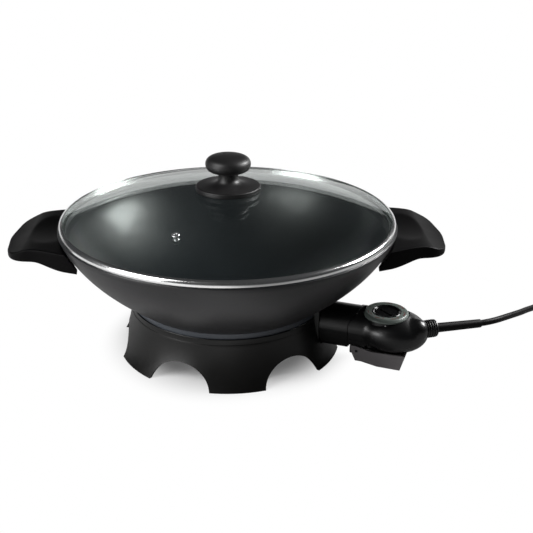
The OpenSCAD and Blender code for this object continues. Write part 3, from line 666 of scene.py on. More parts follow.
def control_matrix(turn: float) -> Matrix:
    """The turn from the control's own frame into the wok's.

    Args:
        turn: direction of the control, in degrees from the front towards the right.

    Returns:
        The matrix.
    """
    return Matrix.Rotation(math.radians(turn - 90), 4, "Z")


def glyph(text: str, size: float, depth: float) -> Patch:
    """A printed character as a thin closed solid, half of it above z = 0.

    Args:
        text: the character.
        size: its height, in millimetres.
        depth: its thickness, in millimetres.

    Returns:
        The patch, whose faces are triangles.
    """
    curve_data = bpy.data.curves.new("glyph", "FONT")
    curve_data.body = text
    curve_data.size = size
    curve_data.align_x, curve_data.align_y = "CENTER", "CENTER"
    curve_data.extrude = depth / 2
    letter = bpy.data.objects.new("glyph", curve_data)
    add_to_scene(letter)
    bpy.context.view_layer.update()
    mesh = bpy.data.meshes.new_from_object(letter.evaluated_get(bpy.context.evaluated_depsgraph_get()))
    mesh.calc_loop_triangles()
    points = np.empty(len(mesh.vertices) * 3, np.float32)
    mesh.vertices.foreach_get("co", points)
    corners = np.empty(len(mesh.loop_triangles) * 3, np.int32)
    mesh.loop_triangles.foreach_get("vertices", corners)
    bpy.data.objects.remove(letter)
    faces = corners.reshape(-1, 3)
    return Patch(points.reshape(-1, 3).astype(float), faces, np.zeros(len(faces), int))


def box(low: tuple[float, float, float], high: tuple[float, float, float]) -> Patch:
    """A box between its low and its high corner."""
    (x0, y0, z0), (x1, y1, z1) = low, high
    return prism(np.array([[x0, y0], [x1, y0], [x1, y1], [x0, y1]], float), z0, z1)


def place_at(x: float, y: float, z: float) -> Matrix:
    """A shift, in the unit of the mesh that it is used on."""
    return Matrix.Translation((x, y, z))


def add_to_scene(piece: bpy.types.Object) -> None:
    """Puts an object into the scene."""
    bpy.context.scene.collection.objects.link(piece)


def make(name: str, patches: list[Patch], finishes: list[Finish], sharp: float = 32.0) -> bpy.types.Object:
    """Makes one object of patches and gives it its finishes.

    Args:
        name: the piece's name.
        patches: its closed surfaces, in millimetres.
        finishes: its finishes, in the order of the patches' tags.
        sharp: edges that turn by more than this many degrees stay sharp.

    Returns:
        The object, in metres, with its origin at the frame's.
    """
    starts = np.cumsum([0] + [len(p.points) for p in patches[:-1]])
    points = np.concatenate([p.points for p in patches]) * MM
    faces = [row for p, s in zip(patches, starts) for row in (p.faces + s).tolist()]
    tags = np.concatenate([p.tags for p in patches])
    mesh = bpy.data.meshes.new(name)
    mesh.from_pydata(points.tolist(), [], faces)
    mesh.polygons.foreach_set("material_index", tags.astype(np.int32))
    for finish in finishes:
        mesh.materials.append(finish.material())
    edit = bmesh.new()
    edit.from_mesh(mesh)
    bmesh.ops.remove_doubles(edit, verts=edit.verts, dist=2e-6)
    bmesh.ops.dissolve_degenerate(edit, edges=edit.edges, dist=1e-7)
    edit.to_mesh(mesh)
    edit.free()
    mesh.shade_smooth()
    mesh.set_sharp_from_angle(angle=math.radians(sharp))
    piece = bpy.data.objects.new(name, mesh)
    add_to_scene(piece)
    return piece


def carve(piece: bpy.types.Object, tools: list[Patch], sharp: float = 32.0) -> None:
    """Cuts closed tool shapes out of a piece, and keeps the result in its mesh.

    Args:
        piece: the piece.
        tools: the closed shapes, in millimetres.
        sharp: edges that turn by more than this many degrees stay sharp.
    """
    cutters = [make(f"{piece.name}_cut_{i}", [tool], []) for i, tool in enumerate(tools)]
    for cutter in cutters:
        cut = piece.modifiers.new(cutter.name, "BOOLEAN")
        cut.operation = "DIFFERENCE"
        cut.solver = "EXACT"
        cut.object = cutter
    bpy.context.view_layer.update()
    graph = bpy.context.evaluated_depsgraph_get()
    mesh = bpy.data.meshes.new_from_object(piece.evaluated_get(graph))
    piece.modifiers.clear()
    old = piece.data
    piece.data = mesh
    bpy.data.meshes.remove(old)
    mesh.shade_smooth()
    mesh.set_sharp_from_angle(angle=math.radians(sharp))
    for cutter in cutters:
        bpy.data.objects.remove(cutter)


def soften(piece: bpy.types.Object, width: float, angle: float = 40.0, segments: int = 2) -> None:
    """Rounds the sharp edges of a piece.

    Args:
        piece: the piece.
        width: width of the rounding, in millimetres.
        angle: edges that turn by less than this many degrees are left.
        segments: faces across the rounding.
    """
    bevel = piece.modifiers.new("edges", "BEVEL")
    bevel.width = width * MM
    bevel.segments = segments
    bevel.limit_method = "ANGLE"
    bevel.angle_limit = math.radians(angle)
    bevel.harden_normals = True


def adopt(piece: bpy.types.Object, body: str, finish: Finish, *nodes: str) -> bpy.types.Object:
    """Gives a piece its body and hides the CAD nodes that it stands for.

    Args:
        piece: the piece.
        body: the CAD body that it moves with.
        finish: not used.
        nodes: the CAD nodes that it replaces.

    Returns:
        The piece.
    """
    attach(piece, body)
    if nodes:
        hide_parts(*nodes)
    LOG.info("%s: %d points, rides on %s", piece.name, len(piece.data.vertices), body)
    return piece


# ------------------------------------------------------------------ the bowl and its base


@dataclass
class Bowl:
    """The cast bowl: foot, flank, rim and coated inside."""

    rim_r: float = 181.0
    rim_z: float = 143.0
    rim_w: float = 5.5
    foot_r: float = 106.5
    foot_z: float = 48.0
    foot_top: float = 59.5
    plate_z: float = 42.0
    plate_r: float = 80.0
    floor_r: float = 62.0
    floor_z: float = 49.0
    flat_r: float = 30.0
    ledge_r: float = 169.5
    ledge_z: float = 133.0
    ridge_r: float = 66.0
    ridge_half: float = 6.0
    ridge_z: float = 36.0
    lug_r: float = 6.5
    lug_bore: float = 2.5
    lug_y: float = 38.0
    lug_z: float = 123.0
    lug_in: float = 165.4
    lug_out: float = 171.0
    probe_in: float = 72.0
    probe_out: float = 89.0
    probe_z: float = 38.0
    probe_r: float = 5.6
    probe_bore: float = 3.35
    notch_in: float = 91.4
    notch_out: float = 114.5
    notch_half: float = 20.9
    notch_low: float = 12.0
    notch_top: float = 60.6

    def flank(self) -> np.ndarray:
        """The outer flank in (radius, height): a cubic curve from the foot to the rim."""
        start = (self.foot_r + 1.5, self.foot_top)
        return curve(start, 38, 26, (self.rim_r, self.rim_z - 2.5), 68, 42, 36)

    def radius(self, z: np.ndarray) -> np.ndarray:
        """Outer radius of the bowl at given heights."""
        line = self.flank()
        return np.interp(z, line[:, 1], line[:, 0])

    def profile(self) -> tuple[np.ndarray, np.ndarray]:
        """The whole profile and the finish of each of its edges.

        Returns:
            Points in (radius, height), and 0 for outside, 1 for foot or 2 for inside.
        """
        low, high = self.ridge_r - self.ridge_half, self.ridge_r + self.ridge_half
        under = rounded([
            (0, self.plate_z, 0), (low, self.plate_z, 0.8), (low, self.ridge_z, 1), (high, self.ridge_z, 1),
            (high, self.plate_z, 0.8), (self.plate_r, self.plate_z, 2), (self.plate_r + 14, self.foot_z, 1),
            (self.foot_r, self.foot_z, 1), (self.foot_r, self.foot_top - 0.6, 0.3),
            (self.foot_r + 1.5, self.foot_top, 0),
        ])
        rim = rounded([
            (self.rim_r, self.rim_z - 2.5, 0), (self.rim_r, self.rim_z, 0.7),
            (self.rim_r - self.rim_w, self.rim_z, 0.7), (self.rim_r - self.rim_w - 1, self.rim_z - 4.5, 0.8),
            (self.ledge_r, self.ledge_z, 1.2), (self.ledge_r - 6, self.ledge_z - 16, 0),
        ])[:-1]
        inside = curve((self.floor_r, self.floor_z), 12, 61, (self.ledge_r, self.ledge_z), 72, 24, 40)[::-1]
        inside = inside[inside[:, 1] < rim[-1, 1] - 0.5]
        centre = np.array([[self.flat_r, self.floor_z], [0.0, self.floor_z]])
        flank = self.flank()[1:-1]
        points = np.concatenate([under, flank, rim, inside, centre])
        r, z = points.T
        row = np.arange(len(points))
        rim_outside = 5
        tags = np.zeros(len(points), int)
        tags[row >= len(under) + len(flank) + rim_outside] = 2
        foot = (np.abs(r - self.foot_r) < 0.9) & (z > self.foot_z + 0.5) & (z < self.foot_top)
        tags[foot & (row < len(under))] = 1
        return points, tags

    def lugs(self) -> list[Patch]:
        """The four round lugs that the handles are screwed to."""
        r, bore, tip, end = self.lug_r, self.lug_bore, self.lug_in, self.lug_out
        outline = rounded([(0, tip, 0), (r, tip, 0), (r, end, 0.6), (bore, end, 0.3), (bore, end - 5, 0),
                           (0, end - 5, 0)])
        places = [place_at(0, side * self.lug_y, self.lug_z) @ ALONG_X for side in (1, -1)]
        turns = [Matrix.Rotation(turn, 4, "Z") for turn in (0, math.pi)]
        return [revolve(outline, 32).moved(turn @ place) for place in places for turn in turns]

    def build(self) -> bpy.types.Object:
        """Makes the bowl, with its lugs, its probe socket and the notch for the control's socket.

        Returns:
            The piece.
        """
        points, tags = self.profile()
        into_control = control_matrix(CONTROL_TURN)
        socket = rounded([(self.probe_bore, self.probe_in, 0.3), (self.probe_r, self.probe_in, 0.6),
                          (self.probe_r, self.probe_out, 0.8), (self.probe_bore, self.probe_out, 0.4)])
        seat = into_control @ place_at(0, 0, self.probe_z) @ ALONG_X
        patches = [revolve(points, 224, tags), *self.lugs(), revolve(socket, 40).moved(seat)]
        piece = make("bowl", patches, [Finish.BOWL_OUT, Finish.BOWL_FOOT, Finish.BOWL_IN], 30)
        low = (self.notch_in, -self.notch_half, self.notch_low)
        high = (self.notch_out, self.notch_half, self.notch_top)
        carve(piece, [box(low, high).moved(into_control)], 30)
        return adopt(piece, "cooker", Finish.BOWL_OUT, "wok_pan")


@dataclass
class Base:
    """The black base: a collar round the bowl's foot over a skirt that is cut into six legs by arches."""

    leg_r: float = 124.0
    collar_r: float = 108.0
    collar_z: float = 53.3
    legs: int = 6
    leg_turn: float = 3.6
    arch_r: float = 37.0
    arch_drop: float = 12.0
    wall: float = 3.0
    deck_in: float = 97.5
    deck_z: float = 48.0
    deck_t: float = 3.2
    foot_r: float = 106.8
    step_h: float = 6.4
    notch_half: float = 21.5
    notch_low_half: float = 17.7
    notch_z: float = 20.5
    notch_wide_z: float = 41.7
    boss_at: float = 102.0
    boss_r: float = 5.0
    boss_bore: float = 2.4
    boss_low: float = 38.8
    boss_top: float = 45.5

    def outer(self, z: np.ndarray) -> np.ndarray:
        """Outer radius of the skirt at given heights, from its flared line below the collar's step."""
        line = curve((self.collar_r + 0.6, self.collar_z - 7), -84, 16, (self.leg_r, 0), -56, 13, 60)
        return np.interp(z, line[::-1, 1], line[::-1, 0])

    def columns(self) -> tuple[np.ndarray, np.ndarray]:
        """Directions round the base, closer together up the sides of the arches, and the skirt's edge there.

        Returns:
            Azimuths in radians from +X, and the heights of the skirt's lower edge.
        """
        pitch = TURN / self.legs
        first = math.radians(self.leg_turn - 90)
        start = math.asin(self.arch_drop / self.arch_r)
        sweep = np.linspace(start, math.pi - start, 33)
        across = self.arch_r * np.cos(sweep)[::-1]
        height = self.arch_r * np.sin(sweep)[::-1] - self.arch_drop
        height[[0, -1]] = 0.0
        half = np.arcsin(across / self.outer(np.maximum(height, 0)))
        foot = np.linspace(half[-1], pitch - half[-1], 11)[1:-1]
        angle = np.concatenate([half, foot])
        low = np.concatenate([height, np.zeros(len(foot))])
        turns = first + pitch * (np.arange(self.legs)[:, None] + 0.5) + angle[None, :]
        return turns.reshape(-1), np.tile(low, self.legs)

    def skirt(self) -> Patch:
        """The skirt: each column is a closed section whose lower edge follows the arches.

        Returns:
            The patch.
        """
        turn, low = self.columns()
        step = self.collar_z - self.step_h
        t = np.linspace(0, 1, 22)[:, None]
        z_out = (step - 0.8) + (low[None, :] - (step - 0.8)) * t
        r_out = self.outer(z_out)
        z_in = z_out[::-1]
        r_in = self.outer(z_in) - self.wall
        under = self.deck_z - self.deck_t
        z_in = np.minimum(z_in, under)
        flat = np.ones_like(low)[None, :]
        collar = [(self.foot_r, self.collar_z - 0.4), (self.foot_r + 0.3, self.collar_z),
                  (self.collar_r - 0.4, self.collar_z), (self.collar_r, self.collar_z - 0.5),
                  (self.collar_r, step + 0.3), (self.collar_r + 0.1, step), (self.collar_r + 0.4, step)]
        deck = [(self.deck_in, under), (self.deck_in, self.deck_z), (self.foot_r, self.deck_z)]
        r = np.concatenate([flat * c[0] for c in collar] + [r_out, r_in] + [flat * c[0] for c in deck])
        z = np.concatenate([flat * c[1] for c in collar] + [z_out, z_in] + [flat * c[1] for c in deck])
        points = np.stack([r * np.cos(turn), r * np.sin(turn), z], axis=-1)
        return Patch.grid(points, True, True)

    def build(self) -> bpy.types.Object:
        """Makes the base, with the opening for the control and the bosses for its screws.

        Returns:
            The piece.
        """
        boss = rounded([(self.boss_bore, self.boss_low, 0.3), (self.boss_r, self.boss_low, 0.6),
                        (self.boss_r, self.boss_top, 0), (self.boss_bore, self.boss_top, 0)])
        bosses = [revolve(boss, 28).moved(control_matrix(CONTROL_TURN + turn) @ place_at(self.boss_at, 0, 0))
                  for turn in (-60, 60, 180)]
        piece = make("base", [self.skirt(), *bosses], [Finish.BASE], 34)
        low, half, above = self.notch_low_half, self.notch_half, 80.0
        notch = np.array([[-low, self.notch_z], [low, self.notch_z], [half, self.notch_wide_z], [half, above],
                          [-half, above], [-half, self.notch_wide_z]])
        across = Matrix(((0, 0, 1, 0), (1, 0, 0, 0), (0, 1, 0, 0), (0, 0, 0, 1)))
        carve(piece, [prism(notch, 70, 150).moved(control_matrix(CONTROL_TURN) @ across)], 34)
        soften(piece, 0.7, 50)
        return adopt(piece, "cooker", Finish.BASE, "base_skirt")


# ------------------------------------------------------------------ the handles


@dataclass
class Ear:
    """One flat handle: a crowned plate with a shallow thumb hollow above and a finger hollow below."""

    bowl: Bowl
    reach: float = 53.0
    shoulder: float = 27.0
    width: float = 118.0
    root_width: float = 148.0
    drop: float = 9.5
    tip_t: float = 5.5
    root_t: float = 21.0
    skin: float = 5.0
    wall: float = 4.0
    gap: float = 1.5
    edge: float = 1.6
    centre_x: float = 207.0
    hollow_x: float = 197.0
    thumb_r: float = 300.0
    thumb_at: float = 7.0
    thumb_deep: float = 2.4
    hole_r: float = 5.6
    hole_in: float = 183.0
    hole_out: float = 199.0
    columns: int = 220

    @property
    def top(self) -> float:
        """Height of the top face."""
        return self.bowl.rim_z - self.drop

    def outline(self, inset: float) -> np.ndarray:
        """The handle seen from above, its sides drawn in by an inset along their normals.

        Args:
            inset: how far the outline is drawn in.

        Returns:
            Points of the closed outline, which runs on past the bowl's flank.
        """
        rim = self.bowl.rim_r
        root, shoulder = (rim - 33, self.root_width / 2), (rim + self.shoulder, self.width / 2)
        side = curve(root, -8, 27, shoulder, -6, 18, 30)
        turn = curve(side[-1], -8, 15, (rim + self.reach - 3, self.width / 4), -84, 18, 30)[1:]
        tip = curve(turn[-1], -84, 10, (rim + self.reach, 0), -90, 10, 10)[1:]
        half = np.concatenate([side, turn, tip])
        line = np.concatenate([half, half[-2::-1] * [1, -1]])
        along = np.gradient(line, axis=0)
        normal = np.stack([-along[:, 1], along[:, 0]], axis=1)
        normal /= np.linalg.norm(normal, axis=1)[:, None]
        inner = line - normal * inset
        return np.concatenate([inner, [[rim - 60, -self.root_width / 2], [rim - 60, self.root_width / 2]]])

    def top_at(self, x: np.ndarray, y: np.ndarray) -> np.ndarray:
        """Height of the top face: its side line, dished by a large ball for the thumb.

        Args:
            x: distance from the bowl's axis towards the handle.
            y: distance to the side.

        Returns:
            The height.
        """
        rim, top = self.bowl.rim_r, self.top
        line = np.concatenate([
            [(rim - 60, top - 2.5), (rim - 14, top - 1.5)],
            curve((rim + 1, top - 0.2), 4, 8, (rim + 27, top - 0.8), -12, 8, 12),
            curve((rim + 30, top - 1.6), -22, 8, (rim + self.reach + 1, top - 8.5), -6, 8, 12),
        ])
        inside = self.thumb_r**2 - (x - rim - self.thumb_at) ** 2 - y**2
        ball = top + self.thumb_r - self.thumb_deep - np.sqrt(np.maximum(inside, 1))
        return smooth_min(np.interp(x, line[:, 0], line[:, 1]), ball, 0.5)

    def low_at(self, x: np.ndarray) -> np.ndarray:
        """Height of the lower face, from its side line.

        Args:
            x: distance from the bowl's axis towards the handle.

        Returns:
            The height.
        """
        rim, top = self.bowl.rim_r, self.top
        line = np.concatenate([
            [(rim - 60, top - self.root_t - 4)],
            curve((rim + 19, top - 13.5), 180, 8, (rim - 12, top - self.root_t), 188, 14, 16)[::-1],
            [(rim + 20, top - 13.5), (rim + self.reach + 1, top - 8.5 - self.tip_t)],
        ])
        return np.interp(x, line[:, 0], line[:, 1])

    def shell(self) -> Patch:
        """The closed shell. Rings of points run out over the top, round the edge, down the side, in under the
        lower face, up the wall of the finger hollow and in again below the skin. Each ring is a distance from
        the centre in each direction, which is the outline's or, on the side of the bowl, the bowl's flank.

        Returns:
            The patch.
        """
        base = np.linspace(0, TURN, self.columns, endpoint=False)
        angles = base - 0.10 * np.sin(2 * base)
        c, s = np.cos(angles), np.sin(angles)
        far = 1e3

        def side(inset: float) -> np.ndarray:
            """Distance to the outline."""
            return polar(self.outline(inset), (self.centre_x, 0.0), angles)

        def flank(height: np.ndarray, inset: float) -> np.ndarray:
            """Distance to the circle of the bowl's flank at a height, or far where that isn't met."""
            reach = self.bowl.radius(height) + self.gap + inset
            b = self.centre_x * c
            inside = b * b - (self.centre_x**2 - reach**2)
            hit = -b - np.sqrt(np.maximum(inside, 0))
            return np.where((inside > 0) & (c < 0), hit, far)

        def ring(inset: float, height: np.ndarray) -> np.ndarray:
            """Distance to the nearer of the two."""
            return smooth_min(side(inset), flank(height, inset), 1.5)

        def spot(rho: np.ndarray) -> tuple[np.ndarray, np.ndarray]:
            """The points at given distances from the centre."""
            return self.centre_x + rho * c, rho * s

        rings: list[np.ndarray] = []

        def lay(rho: np.ndarray, z: np.ndarray) -> None:
            """Adds a ring of points."""
            x, y = spot(rho)
            rings.append(np.stack([x, y, z + 0 * x], axis=-1))

        start = ring(self.edge, np.full(self.columns, self.top))
        for k in np.linspace(0, 1, 18):
            x, y = spot(start * k)
            lay(start * k, self.top_at(x, y))
        x, y = spot(start)
        crest = self.top_at(x, y)
        for bend in np.radians([15, 30, 45, 60, 75, 90]):
            height = crest - self.edge * (1 - math.cos(bend))
            lay(ring(self.edge * (1 - math.sin(bend)), height), height)
        x, y = spot(ring(0, crest))
        foot = self.low_at(x) + self.edge
        for k in np.linspace(0, 1, 7)[1:]:
            height = (crest - self.edge) * (1 - k) + foot * k
            lay(ring(0, height), height)
        for bend in np.radians([30, 60, 90]):
            inset = self.edge * (1 - math.cos(bend))
            rho = ring(inset, foot)
            x, _ = spot(rho)
            lay(rho, self.low_at(x) + self.edge * (1 - math.sin(bend)))
        outer = ring(self.edge, foot)
        back = (self.centre_x - self.hollow_x) / np.maximum(-c, 1e-6)
        hollow = smooth_min(side(self.wall), np.where(c < 0, back, far), 2.0)
        for k in np.linspace(0, 1, 8)[1:]:
            rho = outer * (1 - k) + hollow * k
            x, _ = spot(rho)
            lay(rho, self.low_at(x))
        draft, least = 0.8, 0.6
        x, y = spot(hollow - draft)
        roof = np.maximum(self.top_at(x, y) - self.skin, self.low_at(x) + least)
        for k in (0.35, 0.7, 1.0):
            x, _ = spot(hollow - draft * k)
            lay(hollow - draft * k, self.low_at(x) * (1 - k) + roof * k)
        for k in np.linspace(1, 0, 12)[1:]:
            x, y = spot((hollow - draft) * k)
            lay((hollow - draft) * k, np.maximum(self.top_at(x, y) - self.skin, self.low_at(x) + least))
        return Patch.grid(np.stack(rings), False, True)

    def build(self, name: str, mirrored: bool) -> bpy.types.Object:
        """Makes the handle.

        Args:
            name: the piece's name, which is its CAD node's with a prefix.
            mirrored: it is the left-hand one.

        Returns:
            The piece.
        """
        turn = Matrix.Rotation(math.pi if mirrored else 0, 4, "Z")
        piece = make(f"ear_{name}", [self.shell().moved(turn)], [Finish.HANDLE], 38)
        hole = rounded([(0, self.hole_in, 0), (self.hole_r, self.hole_in, 0), (self.hole_r, self.hole_out, 0),
                        (0, self.hole_out, 0)])
        tools = [revolve(hole, 32).moved(turn @ place_at(0, y, self.bowl.lug_z) @ ALONG_X)
                 for y in (self.bowl.lug_y, -self.bowl.lug_y)]
        carve(piece, tools, 38)
        return adopt(piece, "cooker", Finish.HANDLE, name)


# ------------------------------------------------------------------ the lid


@dataclass
class Lid:
    """The lid: a low glass dome in a steel band, with a steam vent and a knob."""

    rim_z: float = 143.0
    band_r: float = 180.0
    skirt_r: float = 172.5
    band_t: float = 0.6
    band_h: float = 6.0
    skirt_h: float = 5.5
    glass_r: float = 179.2
    glass_t: float = 4.0
    dome_h: float = 30.0
    vent_dist: float = 116.0
    vent_turn: float = -26.0
    vent_r: float = 1.6
    vent_flange_r: float = 4.0
    hole_r: float = 3.8
    flange_r: float = 34.6
    flange_h: float = 4.5
    neck_r: float = 10.6
    neck_h: float = 15.3
    head_r: float = 24.1
    head_h: float = 18.0
    recess_r: float = 11.3
    recess_z: float = 1.9

    @property
    def dome_r(self) -> float:
        """Radius of the dome's middle surface, from its edge radius and its rise."""
        return (self.glass_r**2 + self.dome_h**2) / (2 * self.dome_h)

    @property
    def dome_c(self) -> float:
        """Height of the dome's centre."""
        return self.rim_z + self.band_t + 0.3 + self.glass_t / 2 + self.dome_h - self.dome_r

    def dome(self, radius: np.ndarray, offset: float) -> np.ndarray:
        """Height of a ball that is concentric with the dome, over given distances from the axis."""
        return self.dome_c + np.sqrt((self.dome_r + offset) ** 2 - radius**2)

    def glass(self) -> None:
        """Makes the glass: two balls' caps joined by a rounded edge, with a hole for the knob's screw."""
        r = np.linspace(self.hole_r, self.glass_r - 1, 60)
        upper = np.column_stack([r, self.dome(r, self.glass_t / 2)])
        lower = np.column_stack([r, self.dome(r, -self.glass_t / 2)])[::-1]
        edge = curve(tuple(upper[-1]), -20, 1.6, tuple(lower[0]), 200, 1.6, 8)[1:-1]
        piece = make("dome", [revolve(np.concatenate([upper, edge, lower]), 256)], [Finish.GLASS], 60)
        adopt(piece, "lid", Finish.GLASS, "lid_glass")

    def band(self) -> None:
        """Makes the steel band: a rolled channel that grips the glass and hangs into the bowl."""
        z, r, t, inner = self.rim_z, self.band_r, self.band_t, self.skirt_r
        low, side, top = z - self.skirt_h, z + 3.2, z + self.band_h
        profile = rounded([
            (inner, low, 0.15), (inner + t, low, 0.15), (inner + t, z, 0.3), (r - 0.4, z, 0.6),
            (r, side, 2.2), (r - 1.3, top, 2.2), (r - 4.2, top + 1.0, 0.2), (r - 4.2, top + 1.0 - t, 0.1),
            (r - 1.7, top - t, 1.2), (r - t, side, 1.2), (r - t - 0.4, z + t, 0.3), (inner, z + t, 0.5),
        ])
        piece = make("band", [revolve(profile, 256)], [Finish.BAND], 50)
        adopt(piece, "lid", Finish.BAND, "lid_band")

    def eyelet(self) -> None:
        """Makes the steam vent's eyelet: a rolled tube through the glass, on the dome's normal."""
        outer = self.dome_r + self.glass_t / 2
        lean = Matrix.Rotation(math.asin(self.vent_dist / outer), 4, "Y")
        place = control_matrix(self.vent_turn) @ place_at(0, 0, self.dome_c) @ lean @ place_at(0, 0, outer)
        v, r, t = self.vent_r, self.vent_flange_r, self.glass_t
        profile = rounded([
            (v, -t - 1, 0.3), (r - 0.4, -t - 1, 0.4), (r - 0.4, -t - 0.2, 0.2), (v + 0.9, -t - 0.2, 0),
            (v + 0.9, 0.2, 0), (r, 0.2, 0.2), (r - 0.3, 1.1, 0.5), (v, 1.1, 0.6),
        ])
        piece = make("eyelet", [revolve(profile, 64).moved(place)], [Finish.EYELET], 45)
        adopt(piece, "lid", Finish.EYELET, "vent_eyelet")

    def knob(self) -> None:
        """Makes the knob: a flange dished to sit on the glass, a neck and a flattened mushroom head."""
        glass = float(self.dome(np.array(0.0), self.glass_t / 2))
        flange = glass + self.flange_h
        head = flange + self.neck_h
        crown = head + self.head_h
        widest = (self.head_r, head + 8)
        r = self.flange_r
        edge = rounded([(r - 0.2, glass - 0.7, 0.3), (r, glass + 0.2, 0.4), (r, flange - 0.5, 0.5),
                        (r - 1, flange + 0.1, 0.5), (r - 6, flange + 0.8, 0)])[:-1]
        lower = curve(tuple(edge[-1]), 176, 9, (self.neck_r, head - 7), 96, 8, 20)[1:]
        under = curve((self.neck_r, head - 2.5), 84, 3.4, widest, 88, 11, 20)
        over = curve(widest, 92, 8, (0, crown), 180, 15, 24)[1:]
        spread = np.linspace(0, r - 0.5, 12)[1:]
        seat = np.column_stack([spread, self.dome(spread, self.glass_t / 2 + 0.3)])
        seat[seat[:, 0] < self.recess_r, 1] = glass + self.recess_z
        profile = np.concatenate([[[0, glass + self.recess_z]], seat, edge, lower, under, over])
        piece = make("knob", [revolve(profile, 128)], [Finish.KNOB], 40)
        adopt(piece, "lid", Finish.KNOB, "lid_knob")

    def build(self) -> None:
        """Makes the lid's pieces."""
        self.glass()
        self.band()
        self.eyelet()
        self.knob()


# ------------------------------------------------------------------ the control


